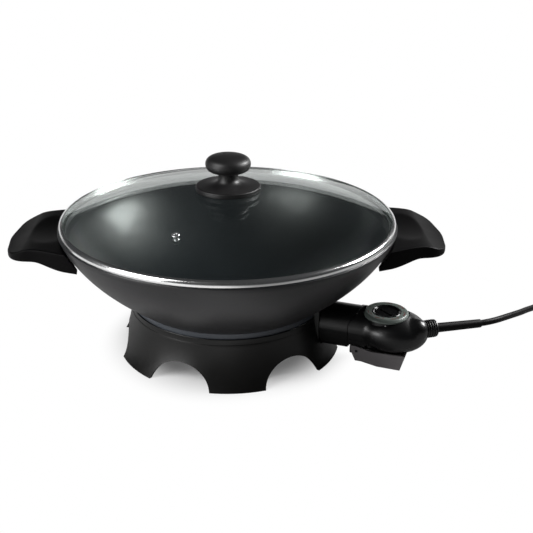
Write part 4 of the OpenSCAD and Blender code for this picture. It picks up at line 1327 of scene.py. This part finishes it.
@dataclass
class Control:
    """The plug-in control: an arched nose, a rounded body, its lower cover, the gland and the sleeve."""

    bowl: Bowl
    nose_in: float = 111.0
    nose_r: float = 20.3
    nose_low: float = 16.5
    nose_z: float = 21.5
    shoulder_z: float = 43.5
    seam_r: float = 142.5
    seam_bend: float = 48.0
    seam_lean: float = 9.5
    gap: float = 0.8
    shell: float = 2.2
    lip_in: float = 0.9
    lip_t: float = 0.5
    lip_l: float = 3.0
    columns: int = 180
    arch_end: float = 166.0
    arch_fade: float = 30.0
    proud: float = 0.7
    body_at: float = 187.0
    body_a: float = 37.0
    body_b: float = 29.0
    body_c: float = 22.5
    body_z: float = 42.5
    body_tail: float = 1.1
    split_z: float = 33.0
    split_gap: float = 0.06
    pocket_half: float = 19.3
    pocket_z: float = 27.0
    pocket_end: float = 206.2
    pocket_rise: float = 5.2
    keel_in: float = 144.4
    keel_out: float = 160.5
    keel_half: float = 15.5
    keel_low: float = 15.5
    keel_top: float = 30.5
    dial_at: float = 178.6
    dial_z: float = 59.0
    dial_r: float = 24.0
    gland_at: float = 220.0
    gland_z: float = 49.5
    gland_turn: float = 36.0
    gland_l: float = 12.0
    gland_root: float = 14.0
    boss_r: float = 9.0
    sleeve_in: float = 4.0
    ball_r: float = 12.0
    ball_back: float = 8.5
    mark_at: float = 182.4
    mark_turn: float = 145.9
    mark_r: float = 24.0
    sleeve_end: tuple[float, float, float] = (267.6, -65.5, 47.0)

    @property
    def matrix(self) -> Matrix:
        """The control's own frame."""
        return control_matrix(CONTROL_TURN)

    def section(self, grow: float) -> np.ndarray:
        """The nose's outline in (y, z): a round arch over sides that draw in to a flat underside.

        Args:
            grow: how far the outline is grown.

        Returns:
            Points of the closed outline.
        """
        arc = np.linspace(0, math.pi, 60)
        r = self.nose_r + grow
        arch = np.column_stack([r * np.cos(arc), self.shoulder_z + r * np.sin(arc)])
        low, z, side = self.nose_low + grow, self.nose_z - grow, self.shoulder_z - 1.8
        foot = rounded([(-r, side, 0), (-low, z, 2.0), (low, z, 2.0), (r, side, 0)], 6)
        return dense(np.concatenate([arch, foot]))

    def seam(self, z: np.ndarray) -> np.ndarray:
        """Where the seam between nose and body lies: upright, then leaning out over the arch."""
        rise = np.clip((z - self.seam_bend) / (self.shoulder_z + self.nose_r - self.seam_bend), 0, 1.2)
        return self.seam_r + self.seam_lean * rise**1.5

    def mouth(self, y: np.ndarray, z: np.ndarray) -> np.ndarray:
        """Where the nose's front edge lies: its flat front, or the bowl's flank where that is further out."""
        reach = self.bowl.radius(z) + 1.0
        return np.maximum(self.nose_in, np.sqrt(np.maximum(reach**2 - y**2, 0)) * (z > self.bowl.foot_top))

    def wall(self, insets: tuple[float, float], ends: Ends, rows: int) -> Patch:
        """A wall between two skins on the nose's section, joined round both ends.

        Args:
            insets: how far inside the section the two skins lie.
            ends: gives the first and the last x of a skin at points (y, z).
            rows: rows of points from one end to the other.

        Returns:
            The patch.
        """
        a = np.linspace(0, TURN, self.columns, endpoint=False)
        t = np.linspace(0, 1, rows)[:, None]
        skins = []
        for inset in insets:
            rho = polar(self.section(-inset), (0, self.body_z), a)
            y, z = rho * np.cos(a), self.body_z + rho * np.sin(a)
            front, back = ends(y, z)
            x = front * (1 - t) + back * t
            skins.append(np.stack([x, y + 0 * x, z + 0 * x], axis=-1))
        return Patch.grid(np.concatenate([skins[0], skins[1][::-1]]), True, True).moved(self.matrix)

    def nose(self) -> None:
        """Makes the nose, from its mouth to the seam."""
        patch = self.wall((0.0, self.shell), lambda y, z: (self.mouth(y, z), self.seam(z) - self.gap / 2), 14)
        piece = make("nose", [patch], [Finish.CONTROL], 28)
        soften(piece, 0.35, 50)
        adopt(piece, "control", Finish.CONTROL, "nose_housing")

    def lip(self) -> None:
        """Makes the lip inside the seam: it lies within the nose's wall and just reaches the body."""
        reach = self.gap / 2 - 0.02
        insets = (self.lip_in, self.lip_in + self.lip_t)
        patch = self.wall(insets, lambda y, z: (self.seam(z) - self.lip_l, self.seam(z) + reach), 2)
        adopt(make("seam_lip", [patch], [Finish.CONTROL], 28), "control", Finish.CONTROL)

    def radial(self, inset: float, x: np.ndarray, a: np.ndarray) -> np.ndarray:
        """Distance of the body's skin from its long axis. It is the largest of three distances, whose
        crossings are rounded: that of the nose's section, which fades out below the dial, that of an
        ellipsoid, and that of a ball below the gland.

        Args:
            inset: how far inside the outer surface the skin lies.
            x: distance along the axis.
            a: direction round the axis, in radians.

        Returns:
            The distance.
        """
        past = np.clip((x - self.arch_end) / self.arch_fade, 0, 1)
        arch = polar(self.section(self.proud - inset), (0, self.body_z), a) * (1 - past**2 * (3 - 2 * past))
        size = np.sqrt(np.maximum(1 - ((x - self.body_at) / (self.body_a - inset)) ** 2, 0))
        egg = size / np.hypot(np.cos(a) / (self.body_b - inset), np.sin(a) / (self.body_c - inset))
        main = smooth_max(arch, egg, 3.0 * np.minimum(egg / 8, 1) + 1e-6)
        lean, r = math.radians(self.gland_turn), self.ball_r - inset
        y, z = -self.ball_back * math.sin(lean), self.gland_z - self.body_z
        off = x - (self.gland_at - self.ball_back * math.cos(lean))
        towards = y * np.cos(a) + z * np.sin(a)
        inside = towards**2 - (off**2 + y * y + z * z - r * r)
        ball = np.where(inside > 0, towards + np.sqrt(np.maximum(inside, 0)), 0)
        return smooth_max(main, np.maximum(ball, 0), 4.0 * np.minimum(main / 8, 1) + 1e-6)

    def solid(self, inset: float, lead: float, rows: int = 96, cols: int = 200) -> Patch:
        """A closed form of the body, from the seam to its back. The seam's place depends on the height of the
        skin and the height on the place, so both are worked out in a few rounds.

        Args:
            inset: how far inside the outer surface it lies.
            lead: how far it starts before the seam.
            rows: rows from the seam to the back.
            cols: columns round the axis.

        Returns:
            The patch, in the control's frame.
        """
        a = np.linspace(0, TURN, cols, endpoint=False)[None, :]
        end = self.body_at + self.body_a + self.body_tail - inset
        spread = np.sin(np.linspace(0, 1, rows)[:, None] * math.pi / 2)
        z = self.body_z + 0 * spread + 0 * a
        for _ in range(8):
            x = (self.seam(z) + self.gap / 2 - lead) * (1 - spread) + end * spread
            rho = self.radial(inset, x, a + 0 * x)
            rho[-1] = 0
            z = self.body_z + rho * np.sin(a)
        points = np.stack([x, rho * np.cos(a), z], axis=-1)
        middle = np.repeat(points[:1].mean(axis=1, keepdims=True), cols, axis=1)
        return Patch.grid(np.concatenate([middle, points]), False, True)

    @property
    def gland_matrix(self) -> Matrix:
        """The place of the gland, whose axis is turned towards the back."""
        turn = Matrix.Rotation(math.radians(self.gland_turn), 4, "Z")
        return self.matrix @ place_at(self.gland_at, 0, self.gland_z) @ turn @ ALONG_X

    def slab(self, low: float, high: float) -> Patch:
        """A block that takes in all of the body between two heights."""
        return box((100, -60, low), (260, 60, high)).moved(self.matrix)

    def body(self) -> None:
        """Makes the upper shell with the round seat for the dial and the boss for the gland."""
        top = self.dial_z - 0.3
        over = top + 28.3
        dial_place = self.matrix @ place_at(self.dial_at, 0, 0)
        seat_r = self.dial_r + 0.6
        seat = revolve(rounded([(0, top, 0), (seat_r, top, 0.4), (seat_r + 1, over, 0), (0, over, 0)]), 128)
        hollow = self.solid(self.shell, 9.0)
        hollow.points[:, 2] = np.minimum(hollow.points[:, 2], top - self.shell)
        piece = make("body", [self.solid(0.0, 0.0).moved(self.matrix)], [Finish.CONTROL], 24)
        below = self.slab(0, self.split_z + 2 * self.split_gap)
        carve(piece, [below, seat.moved(dial_place), hollow.moved(self.matrix)], 24)
        soften(piece, 0.3, 50)
        adopt(piece, "control", Finish.CONTROL, "body_housing")
        r, low, high = self.dial_r - 2, self.body_z + 6, top - 0.05
        barrel = rounded([(0, low, 0), (r, low, 0), (r, high, 0.5), (0, high, 0)])
        ring = make("dial_seat", [revolve(barrel, 128).moved(dial_place)], [Finish.CONTROL])
        adopt(ring, "control", Finish.CONTROL)
        root = -self.gland_root
        boss = rounded([(0, root, 0), (self.boss_r, root, 0), (self.boss_r, -0.2, 0.6), (0, -0.2, 0)])
        piece = make("gland_boss", [revolve(boss, 64).moved(self.gland_matrix)], [Finish.CONTROL])
        adopt(piece, "control", Finish.CONTROL)

    def cover(self) -> None:
        """Makes the lower cover: the same form below the split, with the lever's pocket and its keel."""
        piece = make("cover", [self.solid(0.0, 0.0).moved(self.matrix)], [Finish.CONTROL], 24)
        start, z, end = self.seam_r + 0.9, self.pocket_z, self.pocket_end
        side = np.array([[100, 0], [100, z], [start, z], [end, z + self.pocket_rise], [end, 0]], float)
        upright = self.matrix @ Matrix.Rotation(math.radians(90), 4, "X")
        pocket = prism(side, -self.pocket_half, self.pocket_half).moved(upright)
        carve(piece, [self.slab(self.split_z - self.split_gap, 120), pocket], 24)
        adopt(piece, "control", Finish.CONTROL, "bottom_cover")
        front, back, low, high = self.keel_in, self.keel_out, self.keel_low, self.keel_top
        keel = rounded([(front, low, 1.5), (back, low, 1.5), (back, high, 0), (front, high, 0)])
        patch = prism(keel, -self.keel_half, self.keel_half).moved(upright)
        adopt(make("keel", [patch], [Finish.CONTROL]), "control", Finish.CONTROL)

    def gland(self) -> None:
        """Makes the ribbed gland: a flange, three ribs and a collar round the cord's sleeve."""
        root, end, groove, rib = -self.gland_root, self.gland_l, 8.3, 9.5
        corners = [(6.1, root, 0), (6.3, root, 0), (6.3, 0, 0), (9.2, 0.05, 0.3), (9.4, 1.4, 0.3),
                   (groove, 1.7, 0.2)]
        for start in (2.6, 5.2, 7.8):
            corners += [(groove, start, 0.2), (rib, start + 0.25, 0.3), (rib, start + 1.4, 0.3),
                        (groove, start + 1.7, 0.2)]
        corners += [(groove, 10.2, 0.2), (9.4, 10.4, 0.4), (8.9, end, 0.5), (5.9, end, 0.3), (5.9, 7.5, 0),
                    (3.6, 7.5, 0), (3.6, root, 0)]
        piece = make("gland", [revolve(rounded(corners), 96).moved(self.gland_matrix)], [Finish.CONTROL])
        adopt(piece, "control", Finish.CONTROL, "cord_gland")

    def sleeve(self) -> None:
        """Makes the strain relief: a tapered sleeve from the gland to the free cord."""
        start = self.gland_matrix @ Vector((0, 0, self.gland_l - self.sleeve_in))
        way = Vector(self.sleeve_end) - start
        outline = rounded([(0, 0, 0), (5.1, 0, 0), (4.5, way.length, 0.5), (0, way.length, 0)])
        place = Matrix.Translation(start) @ way.to_track_quat("Z", "Y").to_matrix().to_4x4()
        piece = make("sleeve", [revolve(dense_profile(outline), 64).moved(place)], [Finish.CORD])
        adopt(piece, "control", Finish.CORD, "cord_sleeve")

    def mark(self) -> None:
        """Makes the white triangle that the dial is set against, as a thin solid on the body's skin."""
        corners = np.array([[0.0, 1.1], [-1.0, -0.8], [1.0, -0.8]])
        x = self.mark_at + corners[:, 0]
        a = math.radians(self.mark_turn) - corners[:, 1] / self.mark_r
        skin = self.radial(0.0, x, a)
        low, high = (np.column_stack([x, (skin + k) * np.cos(a), self.body_z + (skin + k) * np.sin(a)])
                     for k in (-0.3, 0.06))
        middles = [np.repeat(face.mean(axis=0)[None], 3, axis=0) for face in (low, high)]
        patch = Patch.grid(np.stack([middles[0], low, high, middles[1]]), False, True).moved(self.matrix)
        adopt(make("index_mark", [patch], [Finish.WHITE_INK]), "control", Finish.WHITE_INK)

    def build(self) -> None:
        """Makes the control's pieces."""
        self.nose()
        self.lip()
        self.body()
        self.cover()
        self.gland()
        self.sleeve()
        self.mark()


@dataclass
class Dial:
    """The temperature dial: a tapered grey ring with printed numbers round a dark, recessed cap."""

    control: Control
    radius: float = 24.0
    cap_r: float = 15.3
    height: float = 5.0
    print_r: float = 19.6
    print_size: float = 5.4
    print_t: float = 0.1
    print_sunk: float = 0.18
    numbers: int = 6
    number_from: float = -100.0
    number_step: float = 50.0
    stroke_from: float = -165.0
    stroke_turn: float = 18.0
    stroke_half: float = 0.5

    @property
    def matrix(self) -> Matrix:
        """The dial's place."""
        return self.control.matrix @ place_at(self.control.dial_at, 0, self.control.dial_z)

    def ring(self) -> None:
        """Makes the grey ring."""
        r, c, h = self.radius, self.cap_r, self.height
        profile = rounded([
            (c - 2, 0, 0), (r - 1.2, 0, 0.3), (r - 0.2, 0.6, 0.3), (r, h - 2.9, 0.6), (r - 2.2, h, 1.3),
            (c + 0.35, h - 0.4, 0.25), (c + 0.35, 1.2, 0), (c - 2, 1.2, 0),
        ])
        piece = make("ring", [revolve(profile, 160).moved(self.matrix)], [Finish.DIAL], 40)
        adopt(piece, "dial", Finish.DIAL, "dial_ring")

    def cap(self) -> None:
        """Makes the cap: a rim round a recessed face with a raised bar to grip."""
        c, h = self.cap_r, self.height
        profile = rounded([
            (0, 0.2, 0), (c - 2.4, 0.2, 0), (c - 2.4, 1.25, 0), (c, 1.25, 0), (c, h - 0.5, 0.35),
            (c - 0.7, h - 0.05, 0.4), (c - 1.6, h - 0.6, 0.5), (c - 2.6, h - 1.9, 0.5), (2, h - 1.8, 0),
            (0, h - 1.8, 0),
        ])
        grip = rounded([(-1.1, -9.5, 1.0), (1.1, -9.5, 1.0), (1.1, 9.5, 1.0), (-1.1, 9.5, 1.0)])
        bar = prism(grip, h - 2.4, h - 1.0).moved(Matrix.Rotation(0.9, 4, "Z"))
        parts = [part.moved(self.matrix) for part in (revolve(profile, 160), bar)]
        piece = make("cap", parts, [Finish.CAP], 35)
        adopt(piece, "dial", Finish.CAP, "dial_cap")

    def stroke(self, start: float, low: float) -> Patch:
        """A short printed arc.

        Args:
            start: direction in which it starts, in radians.
            low: height of its underside.

        Returns:
            The patch.
        """
        sweep = np.linspace(start, start + math.radians(self.stroke_turn), 12)
        way = np.column_stack([np.cos(sweep), np.sin(sweep)])
        outline = np.concatenate([way * (self.print_r + self.stroke_half),
                                  way[::-1] * (self.print_r - self.stroke_half)])
        return prism(outline, low, low + self.print_t)

    def marks(self) -> None:
        """Prints the numbers and the stroke beside each of them round the ring."""
        low = self.height - self.print_sunk
        turns = self.number_step * np.arange(self.numbers)
        places = [Matrix.Rotation(math.radians(self.number_from + turn), 4, "Z")
                  @ place_at(0, -self.print_r, low) for turn in turns]
        numbers = [glyph(str(i + 1), self.print_size, self.print_t).moved(m) for i, m in enumerate(places)]
        strokes = [self.stroke(math.radians(self.stroke_from + turn), low) for turn in turns]
        parts = [part.moved(self.matrix) for part in numbers + strokes]
        piece = make("dial_marks", parts, [Finish.RED_INK], 20)
        adopt(piece, "dial", Finish.RED_INK)

    def build(self) -> None:
        """Makes the dial's pieces."""
        self.ring()
        self.cap()
        self.marks()


# ------------------------------------------------------------------ the cord


@dataclass
class Cord:
    """The cord: from the sleeve down to the table, into a tied coil of two layers, and on to its plug."""

    radius: float = 3.4
    length: float = 1.0465
    sides: int = 20
    route: tuple[tuple[float, float, float], ...] = (
        (267.7, -65.5, 47), (276, -63.2, 47.2), (287, -58, 46.8), (300, -48, 45), (313, -36, 42),
        (326, -23, 38.5), (338, -9, 34.5), (350, 5, 30), (361, 19, 25.5), (372, 33, 20.5), (382, 47, 15.5),
        (391, 60, 11.2), (399, 73, 7.6), (405, 84, 5.4), (409, 94, 4.5), (410, 101, 4.3),
    )
    coil_at: tuple[float, float] = (453.0, 108.0)
    coil_r: float = 43.0
    pitch: float = 7.4
    coil_z: float = 4.3
    turns: float = 3.5
    into_coil: tuple[float, float, float] = (0.0, 7.0, 0.0)
    tail: float = 6.8
    plug_lean: float = 9.5
    plug_r: float = 18.5
    tie_t: float = 0.8
    tie_half: float = 4.5
    tie_gap: float = 0.3

    def coil(self) -> np.ndarray:
        """The coil's line: a spiral in for half of its turns and out again for the rest, on a second layer.

        Returns:
            Points, one row each.
        """
        t = np.linspace(0, self.turns, int(self.turns * 48) + 1)
        half = self.turns / 2
        r = self.coil_r - self.pitch * (half - np.abs(t - half))
        up = np.clip((t - half + 0.25) * 2, 0, 1)
        a = math.pi - TURN * t
        x, y = self.coil_at
        return np.column_stack([x + r * np.cos(a), y + r * np.sin(a), self.coil_z + self.pitch * up])

    @property
    def plug_from(self) -> np.ndarray:
        """Where the cord enters the plug."""
        lean = math.radians(self.plug_lean)
        return self.coil()[-1] + self.tail * np.array([0, -math.cos(lean), math.sin(lean)])

    def line(self) -> np.ndarray:
        """The whole centreline. Between two points of the route it is a cubic curve that leaves each point
        along the line that joins its neighbours.

        Returns:
            Points, one row each.
        """
        route = np.array(self.route, float)
        ends = np.concatenate([route, [self.coil()[0]]])
        before = np.concatenate([[2 * ends[0] - ends[1]], ends[:-1]])
        after = np.concatenate([ends[1:], [2 * ends[-1] - ends[-2]]])
        slope = (after - before) / 2
        slope[-1] = self.into_coil
        t = np.linspace(0, 1, 5)[:-1][None, :, None]
        ease = 3 * t**2 - 2 * t**3
        free = ((1 - ease) * ends[:-1, None] + (t**3 - 2 * t**2 + t) * slope[:-1, None]
                + ease * ends[1:, None] + (t**3 - t**2) * slope[1:, None])
        return np.concatenate([free.reshape(-1, 3), self.coil(), [self.plug_from]])

    def tube(self, line: np.ndarray) -> Patch:
        """A round tube along a line that is nowhere upright.

        Args:
            line: the centreline.

        Returns:
            The patch.
        """
        way = np.gradient(line, axis=0)
        way /= np.linalg.norm(way, axis=1)[:, None]
        side = np.cross(way, [0, 0, 1.0])
        side /= np.linalg.norm(side, axis=1)[:, None]
        up = np.cross(side, way)
        a = np.linspace(0, TURN, self.sides, endpoint=False)[None, :, None]
        around = np.cos(a) * side[:, None] + np.sin(a) * up[:, None]
        rings = line[:, None] + self.radius * around
        first = np.repeat(line[:1, None], self.sides, axis=1)
        last = np.repeat(line[-1:, None], self.sides, axis=1)
        return Patch.grid(np.concatenate([first, rings, last]), False, True)

    def plug(self) -> bpy.types.Object:
        """Makes the plug: a ribbed neck that widens to a round face with a rim.

        Returns:
            The piece.
        """
        neck = 4.6
        corners = [(0, 0.2, 0), (neck, 0.2, 0.4)]
        for rib in range(5):
            at, r = 2.5 + 3.2 * rib, neck + 0.22 * rib
            corners += [(r - 0.7, at - 0.8, 0.2), (r - 0.7, at, 0.2), (r, at + 0.2, 0.3), (r, at + 2.0, 0.3)]
        face = self.plug_r
        corners += [(5.8, 19, 0.8), (9, 21.5, 1.5), (10.4, 29, 4), (13.6, 34.4, 2), (face, 37, 1.5),
                    (face, 52, 0.8), (face - 1, 53, 0.6), (face - 3.4, 53, 0.3), (face - 3.8, 52.2, 0.3),
                    (0, 52.2, 0)]
        to_cook = Matrix.Rotation(math.radians(-90), 4, "Z")
        lean = Matrix.Rotation(math.radians(-self.plug_lean), 4, "Y")
        place = Matrix.Translation(self.plug_from) @ to_cook @ lean @ ALONG_X
        piece = make("plug", [revolve(rounded(corners), 96).moved(place)], [Finish.CORD], 35)
        return adopt(piece, "control", Finish.CORD, "plug_body")

    def tie(self) -> bpy.types.Object:
        """Makes the tie: a flat strap round both layers of the coil.

        Returns:
            The piece.
        """
        t, gap = self.tie_t, self.tie_gap
        low = self.coil_r - 1.25 * self.pitch - self.radius - 3 * gap
        high = self.coil_r - 0.25 * self.pitch + self.radius + gap
        top = self.coil_z + self.pitch + self.radius + gap
        table = 0.05
        outer = dense(rounded([(low - t, table, 2.5), (high + t, table, 2.5), (high + t, top + t, 3),
                               (low - t, top + t, 3)]))
        inside = dense(rounded([(low, 0.75, 2), (high, 0.75, 2), (high, top, 2.4), (low, top, 2.4)]))
        centre = outer.mean(axis=0)
        angles = np.arctan2(*(outer - centre).T[::-1])
        rho = polar(inside, tuple(centre), angles)
        inner = centre + rho[:, None] * np.column_stack([np.cos(angles), np.sin(angles)])
        half = self.tie_half
        rings = [(outer, -half), (outer, half), (inner, half), (inner, -half)]
        grid = np.stack([np.column_stack([np.full(len(line), w), line]) for line, w in rings])
        patch = Patch.grid(grid, True, True).moved(place_at(*self.coil_at, 0))
        return adopt(make("tie", [patch], [Finish.TIE], 40), "control", Finish.TIE, "coil_tie")

    def build(self) -> None:
        line = self.line()
        LOG.info("cord: %.4f m long", np.linalg.norm(np.diff(line, axis=0), axis=1).sum() * MM)
        piece = make("cord", [self.tube(line)], [Finish.CORD], 60)
        adopt(piece, "control", Finish.CORD, "cord_run", "cord_coil")
        pieces = [self.plug(), self.tie(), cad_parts["plug_pins"]]


# ------------------------------------------------------------------ pieces kept from the CAD model


@dataclass
class Kept:
    """The pieces whose CAD shape stays. Each gets its finish, and the lever gets rounded edges as well."""

    finishes: dict[Finish, tuple[str, ...]] = field(default_factory=lambda: {
        Finish.ELEMENT: ("heating_element",),
        Finish.BRIGHT: ("terminal_pins", "inner_washer", "knob_screw", "probe_rod", "dial_spindle",
                        "plug_pins"),
        Finish.SCREW: ("shroud_screws", "base_screws", "left_handle_screws", "right_handle_screws",
                       "lever_spring"),
        Finish.DARK_SCREW: ("cover_screws",),
        Finish.DARK_PIN: ("lever_pin",),
        Finish.GASKET: ("knob_gasket", "inner_gasket"),
        Finish.CERAMIC: ("terminal_insulators",),
        Finish.SHROUD: ("inlet_shroud",),
        Finish.RESIN: ("terminal_block",),
        Finish.BRASS: ("contact_sleeves",),
        Finish.UNIT: ("thermostat_unit",),
        Finish.CONTROL: ("cord_clamp",),
    })

    def dress(self) -> None:
        """Gives the kept pieces their finishes."""
        for finish, names in self.finishes.items():
            for name in names:
                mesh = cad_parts[name].data
                mesh.materials.clear()
                mesh.materials.append(finish.material())
                LOG.info("%s: kept, with %s", name, finish.name.lower())

    def lever(self) -> None:
        """Makes the lever: a merged copy of its CAD shape with rounded edges."""
        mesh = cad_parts["release_lever"].data.copy()
        edit = bmesh.new()
        edit.from_mesh(mesh)
        bmesh.ops.remove_doubles(edit, verts=edit.verts, dist=1e-6)
        bmesh.ops.dissolve_limit(edit, angle_limit=math.radians(1), verts=edit.verts, edges=edit.edges)
        edit.to_mesh(mesh)
        edit.free()
        mesh.materials.clear()
        mesh.materials.append(Finish.LEVER.material())
        mesh.shade_smooth()
        mesh.set_sharp_from_angle(angle=math.radians(30))
        piece = bpy.data.objects.new("lever", mesh)
        add_to_scene(piece)
        soften(piece, 0.7, 30)
        adopt(piece, "lever", Finish.LEVER, "release_lever")


# ------------------------------------------------------------------ table, light and camera


@dataclass(frozen=True)
class Lamp:
    """A soft rectangular lamp that looks at the wok: its place and size in metres, its power in watts."""

    name: str
    at: tuple[float, float, float]
    size: tuple[float, float]
    power: float

    def build(self, aim: tuple[float, float, float]) -> None:
        """Makes the lamp.

        Args:
            aim: the point that it looks at.
        """
        data = bpy.data.lights.new(self.name, "AREA")
        data.shape = "RECTANGLE"
        data.size, data.size_y = self.size
        data.energy = self.power
        lamp = bpy.data.objects.new(self.name, data)
        lamp.location = self.at
        lamp.rotation_euler = (Vector(aim) - Vector(self.at)).to_track_quat("-Z", "Y").to_euler()
        add_to_scene(lamp)


@dataclass
class Studio:
    """The pale table, the soft lamps and the camera, in metres and radians. The lens is in millimetres."""

    back: float = 0.88159
    up: float = 0.466645
    pitch: float = 0.406
    yaw: float = 0.047
    roll: float = 0.009
    lens: float = 58.50
    surround: float = 0.045
    lift: float = 0.12
    near: float = 0.085
    far: float = 0.15
    table_half: float = 9.0
    card_half: float = 1.8
    card_y: float = 1.5
    card_top: float = 0.42
    aim: tuple[float, float, float] = (0, 0, 0.1)
    lamps: tuple[Lamp, ...] = (
        Lamp("right", (0.92, 0.26, 0.70), (0.55, 0.32), 20),
        Lamp("left", (-1.1, -0.6, 1.1), (0.9, 0.7), 17),
        Lamp("low", (-1.3, -0.8, 0.3), (0.8, 0.4), 9),
    )

    def camera(self) -> None:
        """Places the camera: before the wok and above it, turned down by pitch, then by yaw and roll."""
        data = bpy.data.cameras.new("camera")
        data.lens = self.lens
        data.sensor_width = 36.0
        data.clip_end = 50
        down = Matrix.Rotation(math.pi / 2 - self.pitch, 4, "X")
        turn = Matrix.Rotation(-self.yaw, 4, "Z")
        tilt = Matrix.Rotation(self.roll, 4, "Z")
        camera = bpy.data.objects.new("camera", data)
        camera.matrix_world = place_at(0, -self.back, self.up) @ turn @ down @ tilt
        add_to_scene(camera)
        bpy.context.scene.camera = camera

    @staticmethod
    def plane(name: str, corners: list[tuple], material: bpy.types.Material) -> bpy.types.Object:
        """Makes a flat piece of the studio.

        Args:
            name: its name.
            corners: its four corners.
            material: its material.

        Returns:
            The object.
        """
        mesh = bpy.data.meshes.new(name)
        mesh.from_pydata(corners, [], [(0, 1, 2, 3)])
        mesh.materials.append(material)
        plane = bpy.data.objects.new(name, mesh)
        add_to_scene(plane)
        return plane

    def card(self) -> None:
        """Makes the card far behind the wok. It is white in reflections, black to other light and unseen."""
        w = Writer("card")
        mirrored, = w.outputs("ShaderNodeLightPath", {}, ("Is Glossy Ray",))
        colour = w.mix(mirrored, (0.0, 0.0, 0.0), (1.0, 1.0, 1.0))
        material = w.output(w.node("ShaderNodeEmission", {}, {"Color": colour, "Strength": 1.0}))
        half, y, top = self.card_half, self.card_y, self.card_top
        card = self.plane("card", [(-half, y, 0), (half, y, 0), (half, y, top), (-half, y, top)], material)
        card.visible_camera = False

    def floor(self) -> None:
        """Makes the table. To the camera it is pale, and white away from the wok. Where it lights or is
        mirrored in other things it is duller and carries a painted shadow: it darkens towards the right,
        where the wok's shadow falls.
        """
        w = Writer("table")
        seen, = w.outputs("ShaderNodeLightPath", {}, ("Is Camera Ray",))
        place = w.place()
        x, y = w.outputs("ShaderNodeSeparateXYZ", {0: place}, (0, 1))
        away = (x * x + y * y).root().ramp(self.near, self.far)
        pale = w.mix(w.noise(place, 3.0), (0.90, 0.90, 0.90), (0.92, 0.92, 0.92))
        # painted shadow of the wok: for every ray but the camera's, the table darkens from left to right
        painted_shadow_right = w.mix(x.ramp(-0.05, 0.12), (0.85, 0.85, 0.85), (0.25, 0.25, 0.25))
        cloth = w.node("ShaderNodeBsdfDiffuse", {}, {"Color": w.mix(seen, painted_shadow_right, pale)})
        glow = w.node("ShaderNodeEmission", {}, {"Color": (1.0, 1.0, 1.0, 1.0), "Strength": 1.0})
        part = seen * (away * (1 - self.lift) + self.lift)
        material = w.output(w.node("ShaderNodeMixShader", {}, {0: part, 1: cloth, 2: glow}))
        h = self.table_half
        self.plane("table", [(-h, -h, 0), (h, -h, 0), (h, h, 0), (-h, h, 0)], material)

    def world(self) -> None:
        """Makes the surroundings: white to the camera, and a dim grey light to everything else."""
        world = bpy.data.worlds.new("studio")
        bpy.context.scene.world = world
        world.use_nodes = True
        tree = world.node_tree
        tree.nodes.clear()
        path = tree.nodes.new("ShaderNodeLightPath")
        dim, white = tree.nodes.new("ShaderNodeBackground"), tree.nodes.new("ShaderNodeBackground")
        dim.inputs["Color"].default_value = (0.95, 0.97, 1.0, 1.0)
        dim.inputs["Strength"].default_value = self.surround
        white.inputs["Color"].default_value = (1.0, 1.0, 1.0, 1.0)
        mix, end = tree.nodes.new("ShaderNodeMixShader"), tree.nodes.new("ShaderNodeOutputWorld")
        tree.links.new(path.outputs["Is Camera Ray"], mix.inputs[0])
        tree.links.new(dim.outputs[0], mix.inputs[1])
        tree.links.new(white.outputs[0], mix.inputs[2])
        tree.links.new(mix.outputs[0], end.inputs[0])

    def build(self) -> None:
        """Makes the studio."""
        self.camera()
        self.floor()
        self.world()
        self.card()
        for lamp in self.lamps:
            lamp.build(self.aim)
        bpy.context.scene.view_settings.view_transform = "Standard"


def main() -> None:
    """Builds the wok, its cord and the studio in order."""
    logging.basicConfig(level=logging.INFO, format="%(name)s: %(message)s")
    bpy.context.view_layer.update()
    Studio().build()
    Cord().build()
    bowl = Bowl()
    bowl.build()
    Base().build()
    ear = Ear(bowl)
    ear.build("right_handle", mirrored=False)
    ear.build("left_handle", mirrored=True)
    Lid().build()
    control = Control(bowl)
    control.build()
    Dial(control).build()
    kept = Kept()
    kept.dress()
    kept.lever()
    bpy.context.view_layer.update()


if __name__ == "__main__":
    main()
